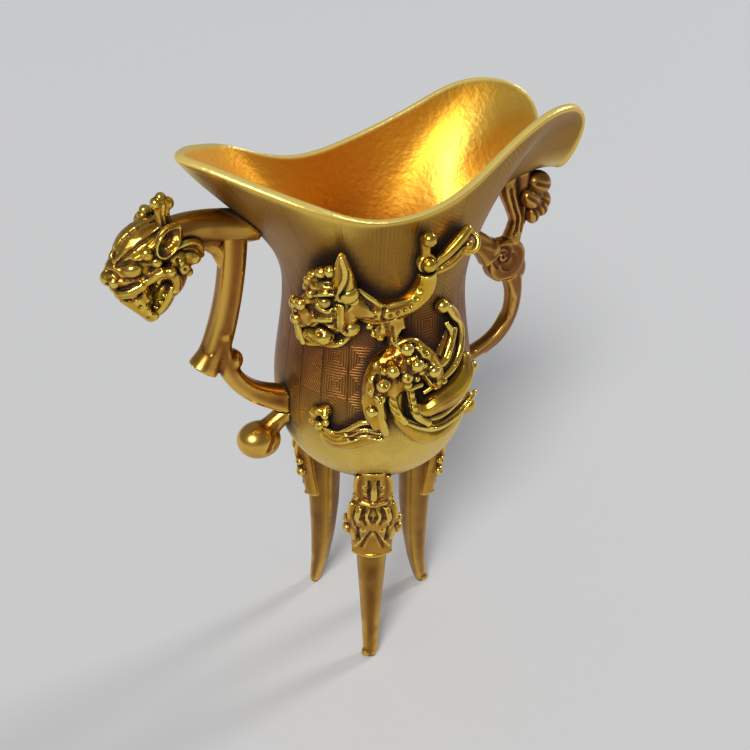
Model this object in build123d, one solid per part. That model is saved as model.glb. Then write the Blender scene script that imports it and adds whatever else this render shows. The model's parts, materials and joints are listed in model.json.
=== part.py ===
from build123d import *
from functools import lru_cache
import math
import os

os.makedirs("parts", exist_ok=True)

# Gilt bronze wine cup of jue form on three blade legs, with dragon handles and a
# hornless dragon in high relief.  All sizes are in millimetres.
# Frame: origin on the floor under the bowl's axis, -X the pouring spout, +X the tail,
# -Y the side with the relief dragon, +Z up.  The bowl is symmetric about Y = 0.

# ---------------------------------------------------------------- bowl and mouth
WALL = 1.4                     # thickness of the cast wall
BELLY_RADIUS = 19.5            # widest outer radius of the bowl
BELLY_HEIGHT = 67.4            # height of the widest place above the floor
BOTTOM_HEIGHT = 48.3           # lowest place of the bowl's outside
BOTTOM_FULLNESS = 2.4          # exponent of the bottom's superellipse, 2 is an ellipse
BOTTOM_FLAT = 2.5              # radius of the flat spot under the bowl
NECK_RADIUS = 16.9             # outer radius where the bowl ends and the flare begins
NECK_HEIGHT = 89.9
SPOUT_REACH = 35.0             # from the axis to the spout's tip
SPOUT_TIP_HEIGHT = 117.6
MOUTH_WIDTH = 35.8             # across the saddle of the rim
SADDLE_HEIGHT = 108.3          # lowest place of the rim's two long sides
TAIL_REACH = 41.5              # from the axis to the end of the tail
TAIL_CREST_HEIGHT = 118.3      # highest place of the tail's two wings
TAIL_TIP_HEIGHT = 101.8        # middle of the tail's drooping lip

# The rim from the spout's tip to the tail's tip, on the relief side.  Each station has
# its share of the reach, of half the mouth's width, and of the climb from the saddle.
SPOUT_STATIONS = (
    (1.00, 0.00, 1.00),
    (0.955, 0.22, 0.965),
    (0.82, 0.545, 0.78),
    (0.543, 0.975, 0.36),
    (0.233, 1.00, 0.00),
)
TAIL_STATIONS = ((0.086, 0.988, 0.104), (0.417, 0.826, 0.634), (0.698, 0.702, 1.00))
# The lip beyond the crest has its share of the drop from the crest to the tip instead.
LIP_STATIONS = ((0.977, 0.435, 0.31), (1.005, 0.24, 0.78), (1.02, 0.00, 0.97))


def rim_stations() -> list[Vector]:
    """Places that the rim passes through, from the spout's tip to the tail's tip."""
    half_width = MOUTH_WIDTH / 2
    spout_climb = SPOUT_TIP_HEIGHT - SADDLE_HEIGHT
    tail_climb = TAIL_CREST_HEIGHT - SADDLE_HEIGHT
    lip_drop = TAIL_CREST_HEIGHT - TAIL_TIP_HEIGHT
    places = [
        Vector(-reach * SPOUT_REACH, -side * half_width, SADDLE_HEIGHT + climb * spout_climb)
        for reach, side, climb in SPOUT_STATIONS
    ]
    places += [
        Vector(reach * TAIL_REACH, -side * half_width, SADDLE_HEIGHT + climb * tail_climb)
        for reach, side, climb in TAIL_STATIONS
    ]
    places += [
        Vector(reach * TAIL_REACH, -side * half_width, TAIL_CREST_HEIGHT - drop * lip_drop)
        for reach, side, drop in LIP_STATIONS
    ]
    return places


def rim_loop() -> Edge:
    """The whole rim as one smooth closed curve that starts at the spout's tip."""
    near = rim_stations()
    far = [Vector(place.X, -place.Y, place.Z) for place in reversed(near[1:-1])]
    return Spline(near + far, periodic=True)


RIM = rim_loop()

FLARE_RISE = 0.33              # how long the wall keeps climbing straight above the neck
LIP_LENGTH = 0.30              # how early it turns to its direction at the rim
CURL_START = 0.62              # share of the rim where the tail begins to curl outward
CURL_DIRECTION = Vector(1.0, 0.0, -0.42)


def smooth_step(value: float) -> float:
    """Ramp from 0 to 1 with level ends."""
    clamped = min(max(value, 0.0), 1.0)
    return clamped * clamped * (3 - 2 * clamped)


def bowl_radius(height: float) -> float:
    """Outer radius of the bowl at a height, from its flat spot up to the neck."""
    if height < BELLY_HEIGHT:
        drop = (BELLY_HEIGHT - height) / (BELLY_HEIGHT - BOTTOM_HEIGHT)
        return BELLY_RADIUS * max(1 - drop**BOTTOM_FULLNESS, 0.0) ** (1 / BOTTOM_FULLNESS)
    climb = (height - BELLY_HEIGHT) / (NECK_HEIGHT - BELLY_HEIGHT)
    return BELLY_RADIUS + (NECK_RADIUS - BELLY_RADIUS) * smooth_step(climb)


@lru_cache(maxsize=None)
def rim_point(share: float) -> Vector:
    """Place on the relief side's rim, share 0 at the spout's tip and 1 at the tail's."""
    return RIM @ (share / 2)


def neck_azimuth(share: float) -> float:
    """Direction of the neck's place below a place of the rim, in radians, 0 to -pi."""
    rim = rim_point(share)
    seen = math.atan2(min(rim.Y, -1e-9), rim.X)
    return (seen - math.pi * (1 - share)) / 2


def flare_point(share: float, climb: float) -> Vector:
    """Outer skin between the neck (climb 0) and the rim (climb 1), as a Bezier curve."""
    azimuth = neck_azimuth(share)
    rim = rim_point(share)
    neck = Vector(NECK_RADIUS * math.cos(azimuth), NECK_RADIUS * math.sin(azimuth), NECK_HEIGHT)
    reach = (rim - neck).length
    curl = smooth_step((share - CURL_START) / (1 - CURL_START))
    straight = (rim - neck).normalized()
    leaving = (straight * (1 - curl) + CURL_DIRECTION.normalized() * curl).normalized()
    low_handle = neck + Vector(0, 0, FLARE_RISE * reach)
    high_handle = rim - leaving * (LIP_LENGTH * reach)
    rest = 1 - climb
    return (
        neck * rest**3
        + low_handle * (3 * rest**2 * climb)
        + high_handle * (3 * rest * climb**2)
        + rim * climb**3
    )


BOWL_ROWS = 14                 # rows of the skin from the flat spot to the neck
FLARE_ROWS = 12                # rows from the neck to the rim
SKIN_COLUMNS = 64              # columns from the spout to the tail on one side
SKIN_TOLERANCE = 0.05


def skin_point(share: float, rise: float) -> Vector:
    """Outer skin, rise 0 at the flat spot, 1 at the neck and 2 at the rim."""
    if rise > 1:
        return flare_point(share, rise - 1)
    azimuth = neck_azimuth(share)
    turn_start = math.asin((BOTTOM_FLAT / BELLY_RADIUS) ** (BOTTOM_FULLNESS / 2))
    bend = 2 * rise
    if bend < 1:
        turn = turn_start + (math.pi / 2 - turn_start) * bend
        radius = BELLY_RADIUS * math.sin(turn) ** (2 / BOTTOM_FULLNESS)
        depth = max(math.cos(turn), 0.0) ** (2 / BOTTOM_FULLNESS)
        height = BELLY_HEIGHT - (BELLY_HEIGHT - BOTTOM_HEIGHT) * depth
    else:
        height = BELLY_HEIGHT + (NECK_HEIGHT - BELLY_HEIGHT) * (bend - 1)
        radius = bowl_radius(height)
    return Vector(radius * math.cos(azimuth), radius * math.sin(azimuth), height)


def skin_normal(share: float, rise: float) -> Vector:
    """Outward direction of the skin, level with the mirror plane at both ends."""
    step = 0.004
    left, right = max(share - step, 0.0), min(share + step, 1.0)
    low, high = max(rise - step, 0.0), min(rise + step, 2.0)
    along = skin_point(right, rise) - skin_point(left, rise)
    if share in (0.0, 1.0):
        along = Vector(0, along.Y, 0)
    up = skin_point(share, high) - skin_point(share, low)
    normal = along.cross(up).normalized()
    if rise == 0:
        return Vector(0, 0, -1)
    return normal


def half_skin(depth: float) -> Face:
    """Skin of the relief side, moved inward by a depth."""
    rises = [row / BOWL_ROWS for row in range(BOWL_ROWS)]
    rises += [1 + row / FLARE_ROWS for row in range(FLARE_ROWS + 1)]
    shares = [column / SKIN_COLUMNS for column in range(SKIN_COLUMNS + 1)]
    rows = []
    for rise in rises:
        row = []
        for share in shares:
            place = skin_point(share, rise) - skin_normal(share, rise) * depth
            if share in (0.0, 1.0):
                place.Y = 0.0
            row.append(place)
        rows.append(row)
    return Face.make_surface_from_array_of_points(rows, tol=SKIN_TOLERANCE, min_deg=3)


def rim_edge(skin: Face) -> Edge:
    """The highest of a half skin's four edges, along the mouth."""
    return max(skin.edges(), key=lambda edge: edge.center().Z)


def foot_edge(skin: Face) -> Edge:
    """The lowest of a half skin's four edges, round the flat spot."""
    return min(skin.edges(), key=lambda edge: edge.center().Z)


def far_side(face: Face) -> Face:
    """Mirror image of a face of the relief side."""
    return face.mirror(Plane.XZ)


def closed_solid(faces: list[Face]) -> Solid:
    """Solid inside a closed set of faces."""
    solid = Solid(Shell(faces))
    return solid if solid.volume > 0 else solid.fix()


outer_near = half_skin(0.0)
inner_near = half_skin(WALL)
outer_far = far_side(outer_near)
inner_far = far_side(inner_near)
flat_outside = Face(Wire([foot_edge(outer_near), foot_edge(outer_far)]))
flat_inside = Face(Wire([foot_edge(inner_near), foot_edge(inner_far)]))
rim_near = Face.make_surface_from_curves(rim_edge(outer_near), rim_edge(inner_near))
rim_far = far_side(rim_near)
mouth_lid = Face.make_surface_from_curves(rim_edge(outer_near), rim_edge(outer_far))

cup_body = closed_solid(
    [outer_near, outer_far, inner_near, inner_far, flat_outside, flat_inside, rim_near, rim_far]
)
# The bowl's outer shape as a full block, which trims each cast ornament to its seat.
bowl_block = closed_solid([outer_near, outer_far, flat_outside, mouth_lid])

# ------------------------------------------------------------- shaping and seating
in_place: dict[str, Solid | Compound] = {"cup_body": cup_body}
filled = [(bowl_block, bowl_block.bounding_box())]


def on_skin(share: float, rise: float, lift: float = 0.0) -> Vector:
    """Place at a height above the outer skin on the relief side."""
    return skin_point(share, rise) + skin_normal(share, rise) * lift


POLE_FLAT = 0.12               # radius of the small flats at a spheroid's poles, as a share
EGG_POINTS = 6


def egg(start: Vector, end: Vector, radius: float) -> Part:
    """Spheroid between two places, with a small flat at each pole."""
    half_length = (end - start).length / 2
    first_turn = math.asin(POLE_FLAT)
    step = (math.pi - 2 * first_turn) / EGG_POINTS
    turns = [first_turn + step * index for index in range(EGG_POINTS + 1)]
    outline = Spline([(radius * math.sin(turn), -half_length * math.cos(turn)) for turn in turns])
    low, high = outline @ 0, outline @ 1
    top, foot = Line(high, (0, high.Y)), Line((0, low.Y), low)
    profile = make_face([outline, top, Line((0, high.Y), (0, low.Y)), foot])
    return Plane(origin=(start + end) / 2, z_dir=end - start) * revolve(Plane.XZ * profile, Axis.Z)


def ball(centre: Vector, radius: float) -> Part:
    """Round bead."""
    return egg(centre - Vector(0, 0, radius), centre + Vector(0, 0, radius), radius)


def rod(places: list[Vector], radii: list[float]) -> Part:
    """Round rod along a smooth path, with its radii spread evenly from end to end."""
    path = Spline(places)
    last = len(radii) - 1
    sections = [
        Plane(origin=path @ (index / last), z_dir=path % (index / last)) * Circle(radius)
        for index, radius in enumerate(radii)
    ]
    return loft(sections)


def bar(places: list[Vector], widths: list[float], thickness: float, edge: float) -> Part:
    """Flat bar bent in the mirror plane, with rounded long edges."""
    path = Spline(places)
    last = len(widths) - 1
    sections = [
        Plane(origin=path @ (index / last), x_dir=(0, 1, 0), z_dir=path % (index / last))
        * RectangleRounded(thickness, width, edge)
        for index, width in enumerate(widths)
    ]
    return loft(sections)


def limb(lift: float, *stations: tuple[float, float, float]) -> Part:
    """Round limb at a height above the skin, through stations of share, rise and radius."""
    path = [on_skin(share, rise, lift) for share, rise, _ in stations]
    return rod(path, [radius for _, _, radius in stations])


def band(height: float, *stations: tuple[float, float, float]) -> Part:
    """Raised band along the skin, through stations of share, rise and width."""
    places = [on_skin(share, rise) for share, rise, _ in stations]
    sections = []
    for index, (share, rise, width) in enumerate(stations):
        ahead = places[min(index + 1, len(places) - 1)]
        behind = places[max(index - 1, 0)]
        plane = Plane(origin=places[index], x_dir=skin_normal(share, rise), z_dir=ahead - behind)
        sections.append(plane * Ellipse(height, width / 2))
    return loft(sections)


def beads(radius: float, *spots: tuple[float, float, float]) -> list[Part]:
    """Equal round beads, each at its share, rise and height above the skin."""
    return [ball(on_skin(*spot), radius) for spot in spots]


def apart(first: BoundBox, second: BoundBox) -> bool:
    """Whether two boxes miss each other along some axis."""
    return any(
        getattr(first.min, axis) > getattr(second.max, axis)
        or getattr(first.max, axis) < getattr(second.min, axis)
        for axis in "XYZ"
    )


def trimmed(piece: Part) -> Solid:
    """A piece without what the bowl and the pieces already in place fill."""
    box = piece.bounding_box()
    neighbours = [solid for solid, hull in filled if not apart(box, hull)]
    rest = piece - neighbours if neighbours else piece
    return max(rest.solids(), key=lambda solid: solid.volume)


def place(name: str, *pieces: Part) -> None:
    """Trim each piece to its seats and keep them as one sub-part."""
    solids = [trimmed(piece) for piece in pieces]
    filled.extend((solid, solid.bounding_box()) for solid in solids)
    in_place[name] = solids[0] if len(solids) == 1 else Compound(solids)


def in_plane(root: Vector, *offsets: tuple[float, float]) -> list[Vector]:
    """Places in the mirror plane, each given by its X and Z distance from a root."""
    return [Vector(root.X + across, 0, root.Z + up) for across, up in offsets]


def both_sides(piece: Part) -> tuple[Part, Part]:
    """A piece and its mirror image across the bowl's mirror plane."""
    return piece, mirror(piece, about=Plane.XZ)


# ------------------------------------------------------------------------- legs
LEG_FOOT_RADIUS = 14.4         # from the axis to the middle of each foot
LEG_TOP_RADIUS = 12.3          # from the axis to the middle of each leg's top
LEG_BOW = 1.6                  # how far the leg bows outward at its middle
LEG_DEPTH = 8.6                # radial depth of the blade at its top
FOOT_DEPTH = 4.4
LEG_WIDTH = 7.6                # width of the blade at its top
FOOT_WIDTH = 3.4
LEG_SINK = 12.0                # how far the leg's top reaches into the bowl before trimming
TOE_RADIUS = 1.5
LEG_AZIMUTHS = {"front": -120, "rear_left": 120, "rear_right": 0}


def leg_middle(share: float) -> float:
    """Distance of the blade's middle from the axis, share 0 at the floor, 1 at the top."""
    straight = LEG_FOOT_RADIUS + (LEG_TOP_RADIUS - LEG_FOOT_RADIUS) * share
    return straight + LEG_BOW * math.sin(math.pi * share)


def leg_half_depth(share: float) -> float:
    """Half of the blade's radial depth."""
    return (FOOT_DEPTH + (LEG_DEPTH - FOOT_DEPTH) * share) / 2


def leg_half_width(share: float) -> float:
    """Half of the blade's width."""
    return (FOOT_WIDTH + (LEG_WIDTH - FOOT_WIDTH) * math.sqrt(share)) / 2


LEG_HEIGHT = BOTTOM_HEIGHT + LEG_SINK
LEG_STATIONS = [index / 6 for index in range(7)]


def leg_blade() -> Part:
    """Sabre-shaped leg that stands on the floor, built toward +X."""
    outer = Spline([(leg_middle(s) + leg_half_depth(s), s * LEG_HEIGHT) for s in LEG_STATIONS])
    inner = Spline([(leg_middle(s) - leg_half_depth(s), s * LEG_HEIGHT) for s in LEG_STATIONS])
    side = make_face([outer, Line(outer @ 1, inner @ 1), inner, Line(inner @ 0, outer @ 0)])
    right = Spline([(leg_half_width(s), s * LEG_HEIGHT) for s in LEG_STATIONS])
    left = Spline([(-leg_half_width(s), s * LEG_HEIGHT) for s in LEG_STATIONS])
    front = make_face([right, Line(right @ 1, left @ 1), left, Line(left @ 0, right @ 0)])
    blade = extrude(Plane.XZ * side, LEG_WIDTH, both=True)
    return blade & extrude(Plane.YZ * front, 2 * LEG_FOOT_RADIUS)


def leg_toe() -> Part:
    """Small round toe on the outer side of the foot, flat where it meets the floor."""
    out = leg_middle(0) + leg_half_depth(0)
    toe = egg(Vector(out, 0, -TOE_RADIUS), Vector(out, 0, 3 * TOE_RADIUS), TOE_RADIUS)
    return toe & (Pos(out, 0, 2 * TOE_RADIUS) * Box(6 * TOE_RADIUS, 6 * TOE_RADIUS, 4 * TOE_RADIUS))


MASK_TOP = 55.5                # height of the mask's crown on the leg
MASK_LENGTH = 24.5
MASK_WIDTH = 10.8
MASK_RELIEF = 2.0              # how far the mask stands proud of the blade


def leg_mask() -> Part:
    """Beast mask over the outer face of a leg, with brow, snout, cheeks and side curls."""

    def spot(down: float, side: float, proud: float) -> Vector:
        height = MASK_TOP - down * MASK_LENGTH
        share = height / LEG_HEIGHT
        out = leg_middle(share) + leg_half_depth(share) + proud * MASK_RELIEF
        return Vector(out, side * MASK_WIDTH / 2, height)

    crown = egg(spot(0.0, 0, -0.6), spot(0.4, 0, 0.1), 0.24 * MASK_WIDTH)
    brow = egg(spot(0.3, -0.8, -0.5), spot(0.3, 0.8, -0.5), 0.72 * MASK_RELIEF)
    snout = egg(spot(0.26, 0, -0.6), spot(0.8, 0, -0.2), 0.3 * MASK_WIDTH)
    chin = egg(spot(0.66, 0, -1.0), spot(1.04, 0, -0.9), 0.3 * MASK_WIDTH)
    mask = crown + brow + snout + chin
    for side in (-1, 1):
        mask += egg(spot(0.32, side * 0.5, -0.7), spot(0.9, side * 0.55, -0.8), 0.21 * MASK_WIDTH)
        mask += egg(spot(0.04, side * 0.55, -1.4), spot(0.34, side * 0.75, -1.3), 0.16 * MASK_WIDTH)
        mask += ball(spot(0.6, side * 0.9, -1.2), 0.12 * MASK_WIDTH)
        mask += egg(spot(0.62, side * 0.84, -1.6), spot(0.86, side * 0.88, -1.5), 0.13 * MASK_WIDTH)
    return mask


leg_shape = leg_blade() + leg_toe()
mask_shape = leg_mask()
for leg_name, azimuth in LEG_AZIMUTHS.items():
    place(f"leg_{leg_name}", Rot(0, 0, azimuth) * leg_shape)
    place(f"leg_mask_{leg_name}", Rot(0, 0, azimuth) * mask_shape)

# ------------------------------------------------- spout handle and its dragon head
HANDLE_THICKNESS = 4.0         # of the strap and the arm, across the mirror plane
HANDLE_EDGE = 1.3              # radius of their long edges
STUMP_RADIUS = 2.8             # flared end of the cut branch
STUMP_HOLLOW = 1.2             # depth of the hollow in its end
SCROLL_RADIUS = 3.7
NECK_TUBE_RADIUS = 2.7
HEAD_DISTANCE = 12.0           # from the spout's underside to the back of the dragon's head

spout_root = on_skin(0.0, 1.5)
belly_root = Vector(-BELLY_RADIUS, 0, BELLY_HEIGHT)

strap_path = in_plane(
    spout_root, (-2.9, 1.0), (-3.4, -4.5), (-4.6, -10.8), (-6.8, -18.0), (-8.2, -21.4)
)
strap = bar(strap_path, [4.6, 4.4, 4.3, 4.5, 4.8], HANDLE_THICKNESS, HANDLE_EDGE)
place("spout_strap", strap)

stump_path = in_plane(spout_root, (-7.2, -19.2), (-8.9, -21.9), (-10.7, -24.4))
stump = rod(stump_path, [2.1, 2.3, STUMP_RADIUS])
stump_end = Plane(origin=stump_path[-1], z_dir=stump_path[-2] - stump_path[-1])
hollow = extrude(stump_end * Circle(STUMP_RADIUS - 0.9), STUMP_HOLLOW)
place("spout_stump", stump - hollow)

arm_path = in_plane(spout_root, (-7.0, -20.6), (-6.0, -26.0))
arm_path += in_plane(belly_root, (-7.2, 6.2), (-3.0, 3.0), (1.4, 0.4))
place("spout_arm", bar(arm_path, [3.4, 3.5, 3.6, 4.4, 5.4], HANDLE_THICKNESS, HANDLE_EDGE))

scroll_neck = rod(in_plane(belly_root, (1.2, -1.6), (-1.8, -3.2), (-4.2, -5.0)), [2.2, 1.9, 2.4])
scroll_ball = egg(*in_plane(belly_root, (-10.0, -5.3), (-1.6, -7.4)), SCROLL_RADIUS)
place("spout_scroll", scroll_neck + scroll_ball)

head_root = Vector(spout_root.X - HEAD_DISTANCE, 0, spout_root.Z + 0.8)
neck_path = in_plane(spout_root, (1.2, -0.2), (-3.0, 0.6), (-7.6, 1.6))
neck_path += in_plane(head_root, (-1.6, 0.2))
place("dragon_neck", rod(neck_path, [2.6, NECK_TUBE_RADIUS, 2.5, 3.0]))


def head_spot(across: float, side: float, up: float) -> Vector:
    """Place on the dragon's head, measured from where the neck meets it."""
    return Vector(head_root.X + across, side, head_root.Z + up)


def head_egg(start: tuple[float, float, float], end: tuple[float, float, float], radius: float) -> Part:
    """Spheroid between two places on the dragon's head."""
    return egg(head_spot(*start), head_spot(*end), radius)


place("dragon_skull", head_egg((0.8, 0, 0.6), (-10.6, 0, -2.4), 5.2))
place("dragon_muzzle", head_egg((-6.0, 0, -2.4), (-12.9, 0, -5.2), 3.2))
place("dragon_jaw", head_egg((-1.4, 0, -5.6), (-8.2, 0, -12.4), 2.7))
place("dragon_brows", *both_sides(head_egg((-6.0, -3.4, 3.0), (-10.8, -1.8, -0.4), 1.5)))
place("dragon_eyes", *both_sides(ball(head_spot(-8.2, -3.9, -1.4), 1.3)))
place("dragon_cheeks", *both_sides(head_egg((-1.8, -3.6, -3.2), (-6.6, -2.8, -7.4), 2.2)))
place("dragon_ears", *both_sides(head_egg((-1.4, -5.4, 2.2), (-5.8, -4.4, -3.4), 1.5)))
long_horn_path = [head_spot(-3.2, -2.2, 1.6), head_spot(-3.2, -2.5, 5.0), head_spot(-2.6, -2.7, 7.4)]
long_horn = rod(long_horn_path, [1.2, 1.3, 1.9])
short_horn = rod([head_spot(-4.6, 2.2, 1.2), head_spot(-5.6, 2.4, 4.2)], [1.4, 1.6])
place("dragon_horns", long_horn, short_horn)
lower_curls = both_sides(ball(head_spot(0.0, -3.4, -4.6), 1.7))
upper_curls = both_sides(ball(head_spot(1.2, -2.6, -1.4), 1.7))
place("dragon_mane", *lower_curls, *upper_curls)

# ------------------------------------------------------------ tail handle and flower
DISC_RADIUS = 4.7
DISC_THICKNESS = 3.4
DISC_HOLLOW_RADIUS = 1.9
DISC_HOLLOW_DEPTH = 1.0
TAIL_STRAP_THICKNESS = 2.8
FLOWER_PETALS = 5
FLOWER_REACH = 3.2             # from the flower's middle to each petal's middle
PETAL_RADIUS = 2.1

neck_root = Vector(NECK_RADIUS, 0, NECK_HEIGHT)
disc_centre = Vector(neck_root.X + 14.4, 0, neck_root.Z - 4.8)
tail_belly_root = Vector(BELLY_RADIUS, 0, BELLY_HEIGHT)
tail_root = on_skin(1.0, 1.68)

disc = Pos(disc_centre) * Rot(90, 0, 0) * Cylinder(DISC_RADIUS, DISC_THICKNESS)
disc = fillet(disc.edges(), 0.9)
for side in (-1, 1):
    face_middle = disc_centre + Vector(0, side * DISC_THICKNESS / 2, 0)
    disc -= Pos(face_middle) * Rot(90, 0, 0) * Cylinder(DISC_HOLLOW_RADIUS, 2 * DISC_HOLLOW_DEPTH)
place("tail_disc", disc)

link_path = in_plane(neck_root, (-0.8, 3.0), (4.6, 2.0)) + in_plane(disc_centre, (-3.6, 1.2))
place("tail_link", bar(link_path, [6.0, 4.4, 5.0], TAIL_STRAP_THICKNESS + 0.8, 1.2))

tail_path = in_plane(disc_centre, (1.6, -3.4), (3.2, -9.6), (2.4, -15.2))
tail_path += in_plane(tail_belly_root, (7.2, -2.6), (-1.2, -5.0))
place("tail_strap", bar(tail_path, [3.4, 2.3, 2.3, 2.5, 3.2], TAIL_STRAP_THICKNESS, 0.9))

stem_path = in_plane(tail_root, (0, 1.2), (1.2, -5.6)) + in_plane(disc_centre, (1.0, 3.4))
place("flower_stem", rod(stem_path, [2.2, 1.5, 1.6, 1.9]))

flower_centre = Vector(tail_root.X + 3.6, 0, tail_root.Z - 5.6)
bud_back = flower_centre + Vector(-4.2, 0, -0.6)
place("flower_bud", egg(bud_back, flower_centre + Vector(2.2, 0, 0.4), 1.9))
petals = []
for index in range(FLOWER_PETALS):
    turn = 2 * math.pi * index / FLOWER_PETALS
    spread = Vector(0.5 * math.cos(turn), math.sin(turn), math.cos(turn)) * FLOWER_REACH
    petal_start = flower_centre + spread * 0.3 + Vector(-1.2, 0, 0)
    petals.append(egg(petal_start, flower_centre + spread * 1.6, PETAL_RADIUS))
place("flower_petals", *petals)

# ------------------------------------------------------------------ high relief
# Everything here is placed by its share of the rim and its rise, see skin_point.
SCALE_KNOB_RADIUS = 1.2
NOSE_KNOB_RADIUS = 1.1
PEARL_RADIUS = 1.25
PEARL_SEAT_RADIUS = 1.9
PEARL_SPOTS = ((0.424, 1.54), (0.412, 1.80))

place(
    "relief_torso",
    limb(2.2, (0.37, 0.93, 2.4), (0.415, 0.87, 3.3), (0.45, 0.77, 3.0), (0.455, 0.68, 2.0)),
)
place("relief_chest", limb(1.8, (0.385, 0.83, 2.6), (0.345, 0.79, 2.9), (0.325, 0.715, 2.1)))
place("relief_hind_leg", limb(1.4, (0.325, 0.73, 1.9), (0.322, 0.65, 2.0), (0.34, 0.565, 1.3)))
neck_stations = (
    (0.26, 1.21, 2.8),
    (0.315, 1.15, 2.0),
    (0.37, 1.14, 1.7),
    (0.42, 1.25, 1.8),
    (0.428, 1.45, 1.5),
)
place("relief_neck", limb(1.3, *neck_stations))
place("relief_foreleg", limb(1.2, (0.37, 1.1, 1.6), (0.374, 0.99, 1.7), (0.385, 0.9, 2.0)))
place("relief_paw", egg(on_skin(0.325, 0.96, 0.8), on_skin(0.372, 0.985, 0.8), 1.6))
place("relief_skull", egg(on_skin(0.275, 1.22, 2.0), on_skin(0.165, 1.22, 2.6), 4.6))
place("relief_muzzle", egg(on_skin(0.19, 1.08, 2.2), on_skin(0.11, 1.06, 2.4), 3.2))
place("relief_jaw", egg(on_skin(0.2, 0.93, 1.6), on_skin(0.095, 0.9, 1.4), 1.7))
place("relief_crest", limb(2.6, (0.25, 1.36, 2.3), (0.252, 1.55, 1.6), (0.254, 1.76, 0.5)))
place("relief_brow", egg(on_skin(0.225, 1.38, 4.4), on_skin(0.175, 1.36, 4.2), 1.7))
place("relief_eye", ball(on_skin(0.208, 1.25, 6.2), 1.1))
place("relief_curls", *beads(1.7, (0.189, 0.93, 2.4), (0.262, 0.985, 2.2), (0.262, 1.40, 3.6)))
nose_knobs = beads(NOSE_KNOB_RADIUS, (0.120, 1.14, 4.0), (0.148, 1.19, 4.6), (0.128, 1.02, 4.8))
place("relief_nose_knobs", *nose_knobs)
scale_knob_spots = (
    (0.388, 0.915, 4.6),
    (0.404, 0.845, 5.2),
    (0.437, 0.80, 4.8),
    (0.362, 0.825, 4.6),
    (0.343, 0.765, 4.4),
    (0.322, 0.65, 3.2),
)
place("relief_scale_knobs", *beads(SCALE_KNOB_RADIUS, *scale_knob_spots))

crescent_stations = (
    (0.405, 0.64, 2.0),
    (0.425, 0.575, 4.4),
    (0.458, 0.56, 5.8),
    (0.50, 0.58, 6.4),
    (0.55, 0.62, 6.2),
    (0.60, 0.67, 5.0),
    (0.635, 0.75, 2.2),
)
place("relief_crescent", band(2.3, *crescent_stations))
ribbon_stations = (
    (0.385, 0.74, 2.4),
    (0.378, 0.66, 2.8),
    (0.384, 0.59, 3.0),
    (0.41, 0.52, 3.2),
    (0.45, 0.475, 3.2),
    (0.50, 0.475, 3.2),
    (0.555, 0.50, 2.8),
    (0.61, 0.53, 2.0),
)
place("relief_ribbon", band(1.5, *ribbon_stations))
plume_stations = (
    (0.35, 0.54, 3.4),
    (0.31, 0.51, 3.8),
    (0.27, 0.485, 3.6),
    (0.22, 0.475, 3.2),
    (0.18, 0.50, 1.6),
)
place("relief_plume_low", band(1.4, *plume_stations))
plume_curls = beads(1.2, (0.158, 0.57, 0.6), (0.19, 0.59, 0.6), (0.172, 0.52, 0.6))
place("relief_plume_curls", *plume_curls)
place(
    "relief_back_flame",
    band(2.0, (0.468, 0.77, 2.6), (0.493, 0.80, 2.8), (0.515, 0.84, 2.4), (0.53, 0.90, 1.2)),
)
side_flame_stations = (
    (0.487, 0.72, 2.2),
    (0.53, 0.77, 2.6),
    (0.56, 0.85, 2.2),
    (0.552, 0.93, 1.8),
    (0.51, 1.0, 1.6),
)
place("relief_side_flame", band(1.5, *side_flame_stations))
side_knobs = beads(1.3, (0.492, 1.03, 0.8), (0.66, 0.62, 0.4)) + beads(1.9, (0.60, 0.49, 0.4))
place("relief_side_knobs", *side_knobs)
leaf_stations = ((0.45, 1.36, 1.0), (0.47, 1.46, 1.5), (0.495, 1.55, 1.9), (0.52, 1.61, 1.9))
place("rolled_leaf", limb(1.2, *leaf_stations))
pearl_seats = [egg(on_skin(*spot, -0.6), on_skin(*spot, 1.4), PEARL_SEAT_RADIUS) for spot in PEARL_SPOTS]
place("pearl_seats", *pearl_seats)
place("pearls", *[ball(on_skin(*spot, 1.9), PEARL_RADIUS) for spot in PEARL_SPOTS])

for node, shape in in_place.items():
    export_step(shape, f"parts/{node}.step")
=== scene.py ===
"""Looks of the gilt bronze jue cup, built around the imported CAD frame.

The cup's skin is worked out from the same named stations as the solids, in metres.  Every
ornament is modelled as a soft lump: it starts from a copy of its own solid or from nothing, is
built up with strands, beads and eggs, fused, kept out of the cup, and carved along strokes.
"""

import json
import logging
import math
from dataclasses import dataclass, field
from enum import Enum
from typing import ClassVar, Iterable, Sequence

import bpy
import numpy as np
from mathutils import Matrix, Vector
from mathutils.kdtree import KDTree

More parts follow.
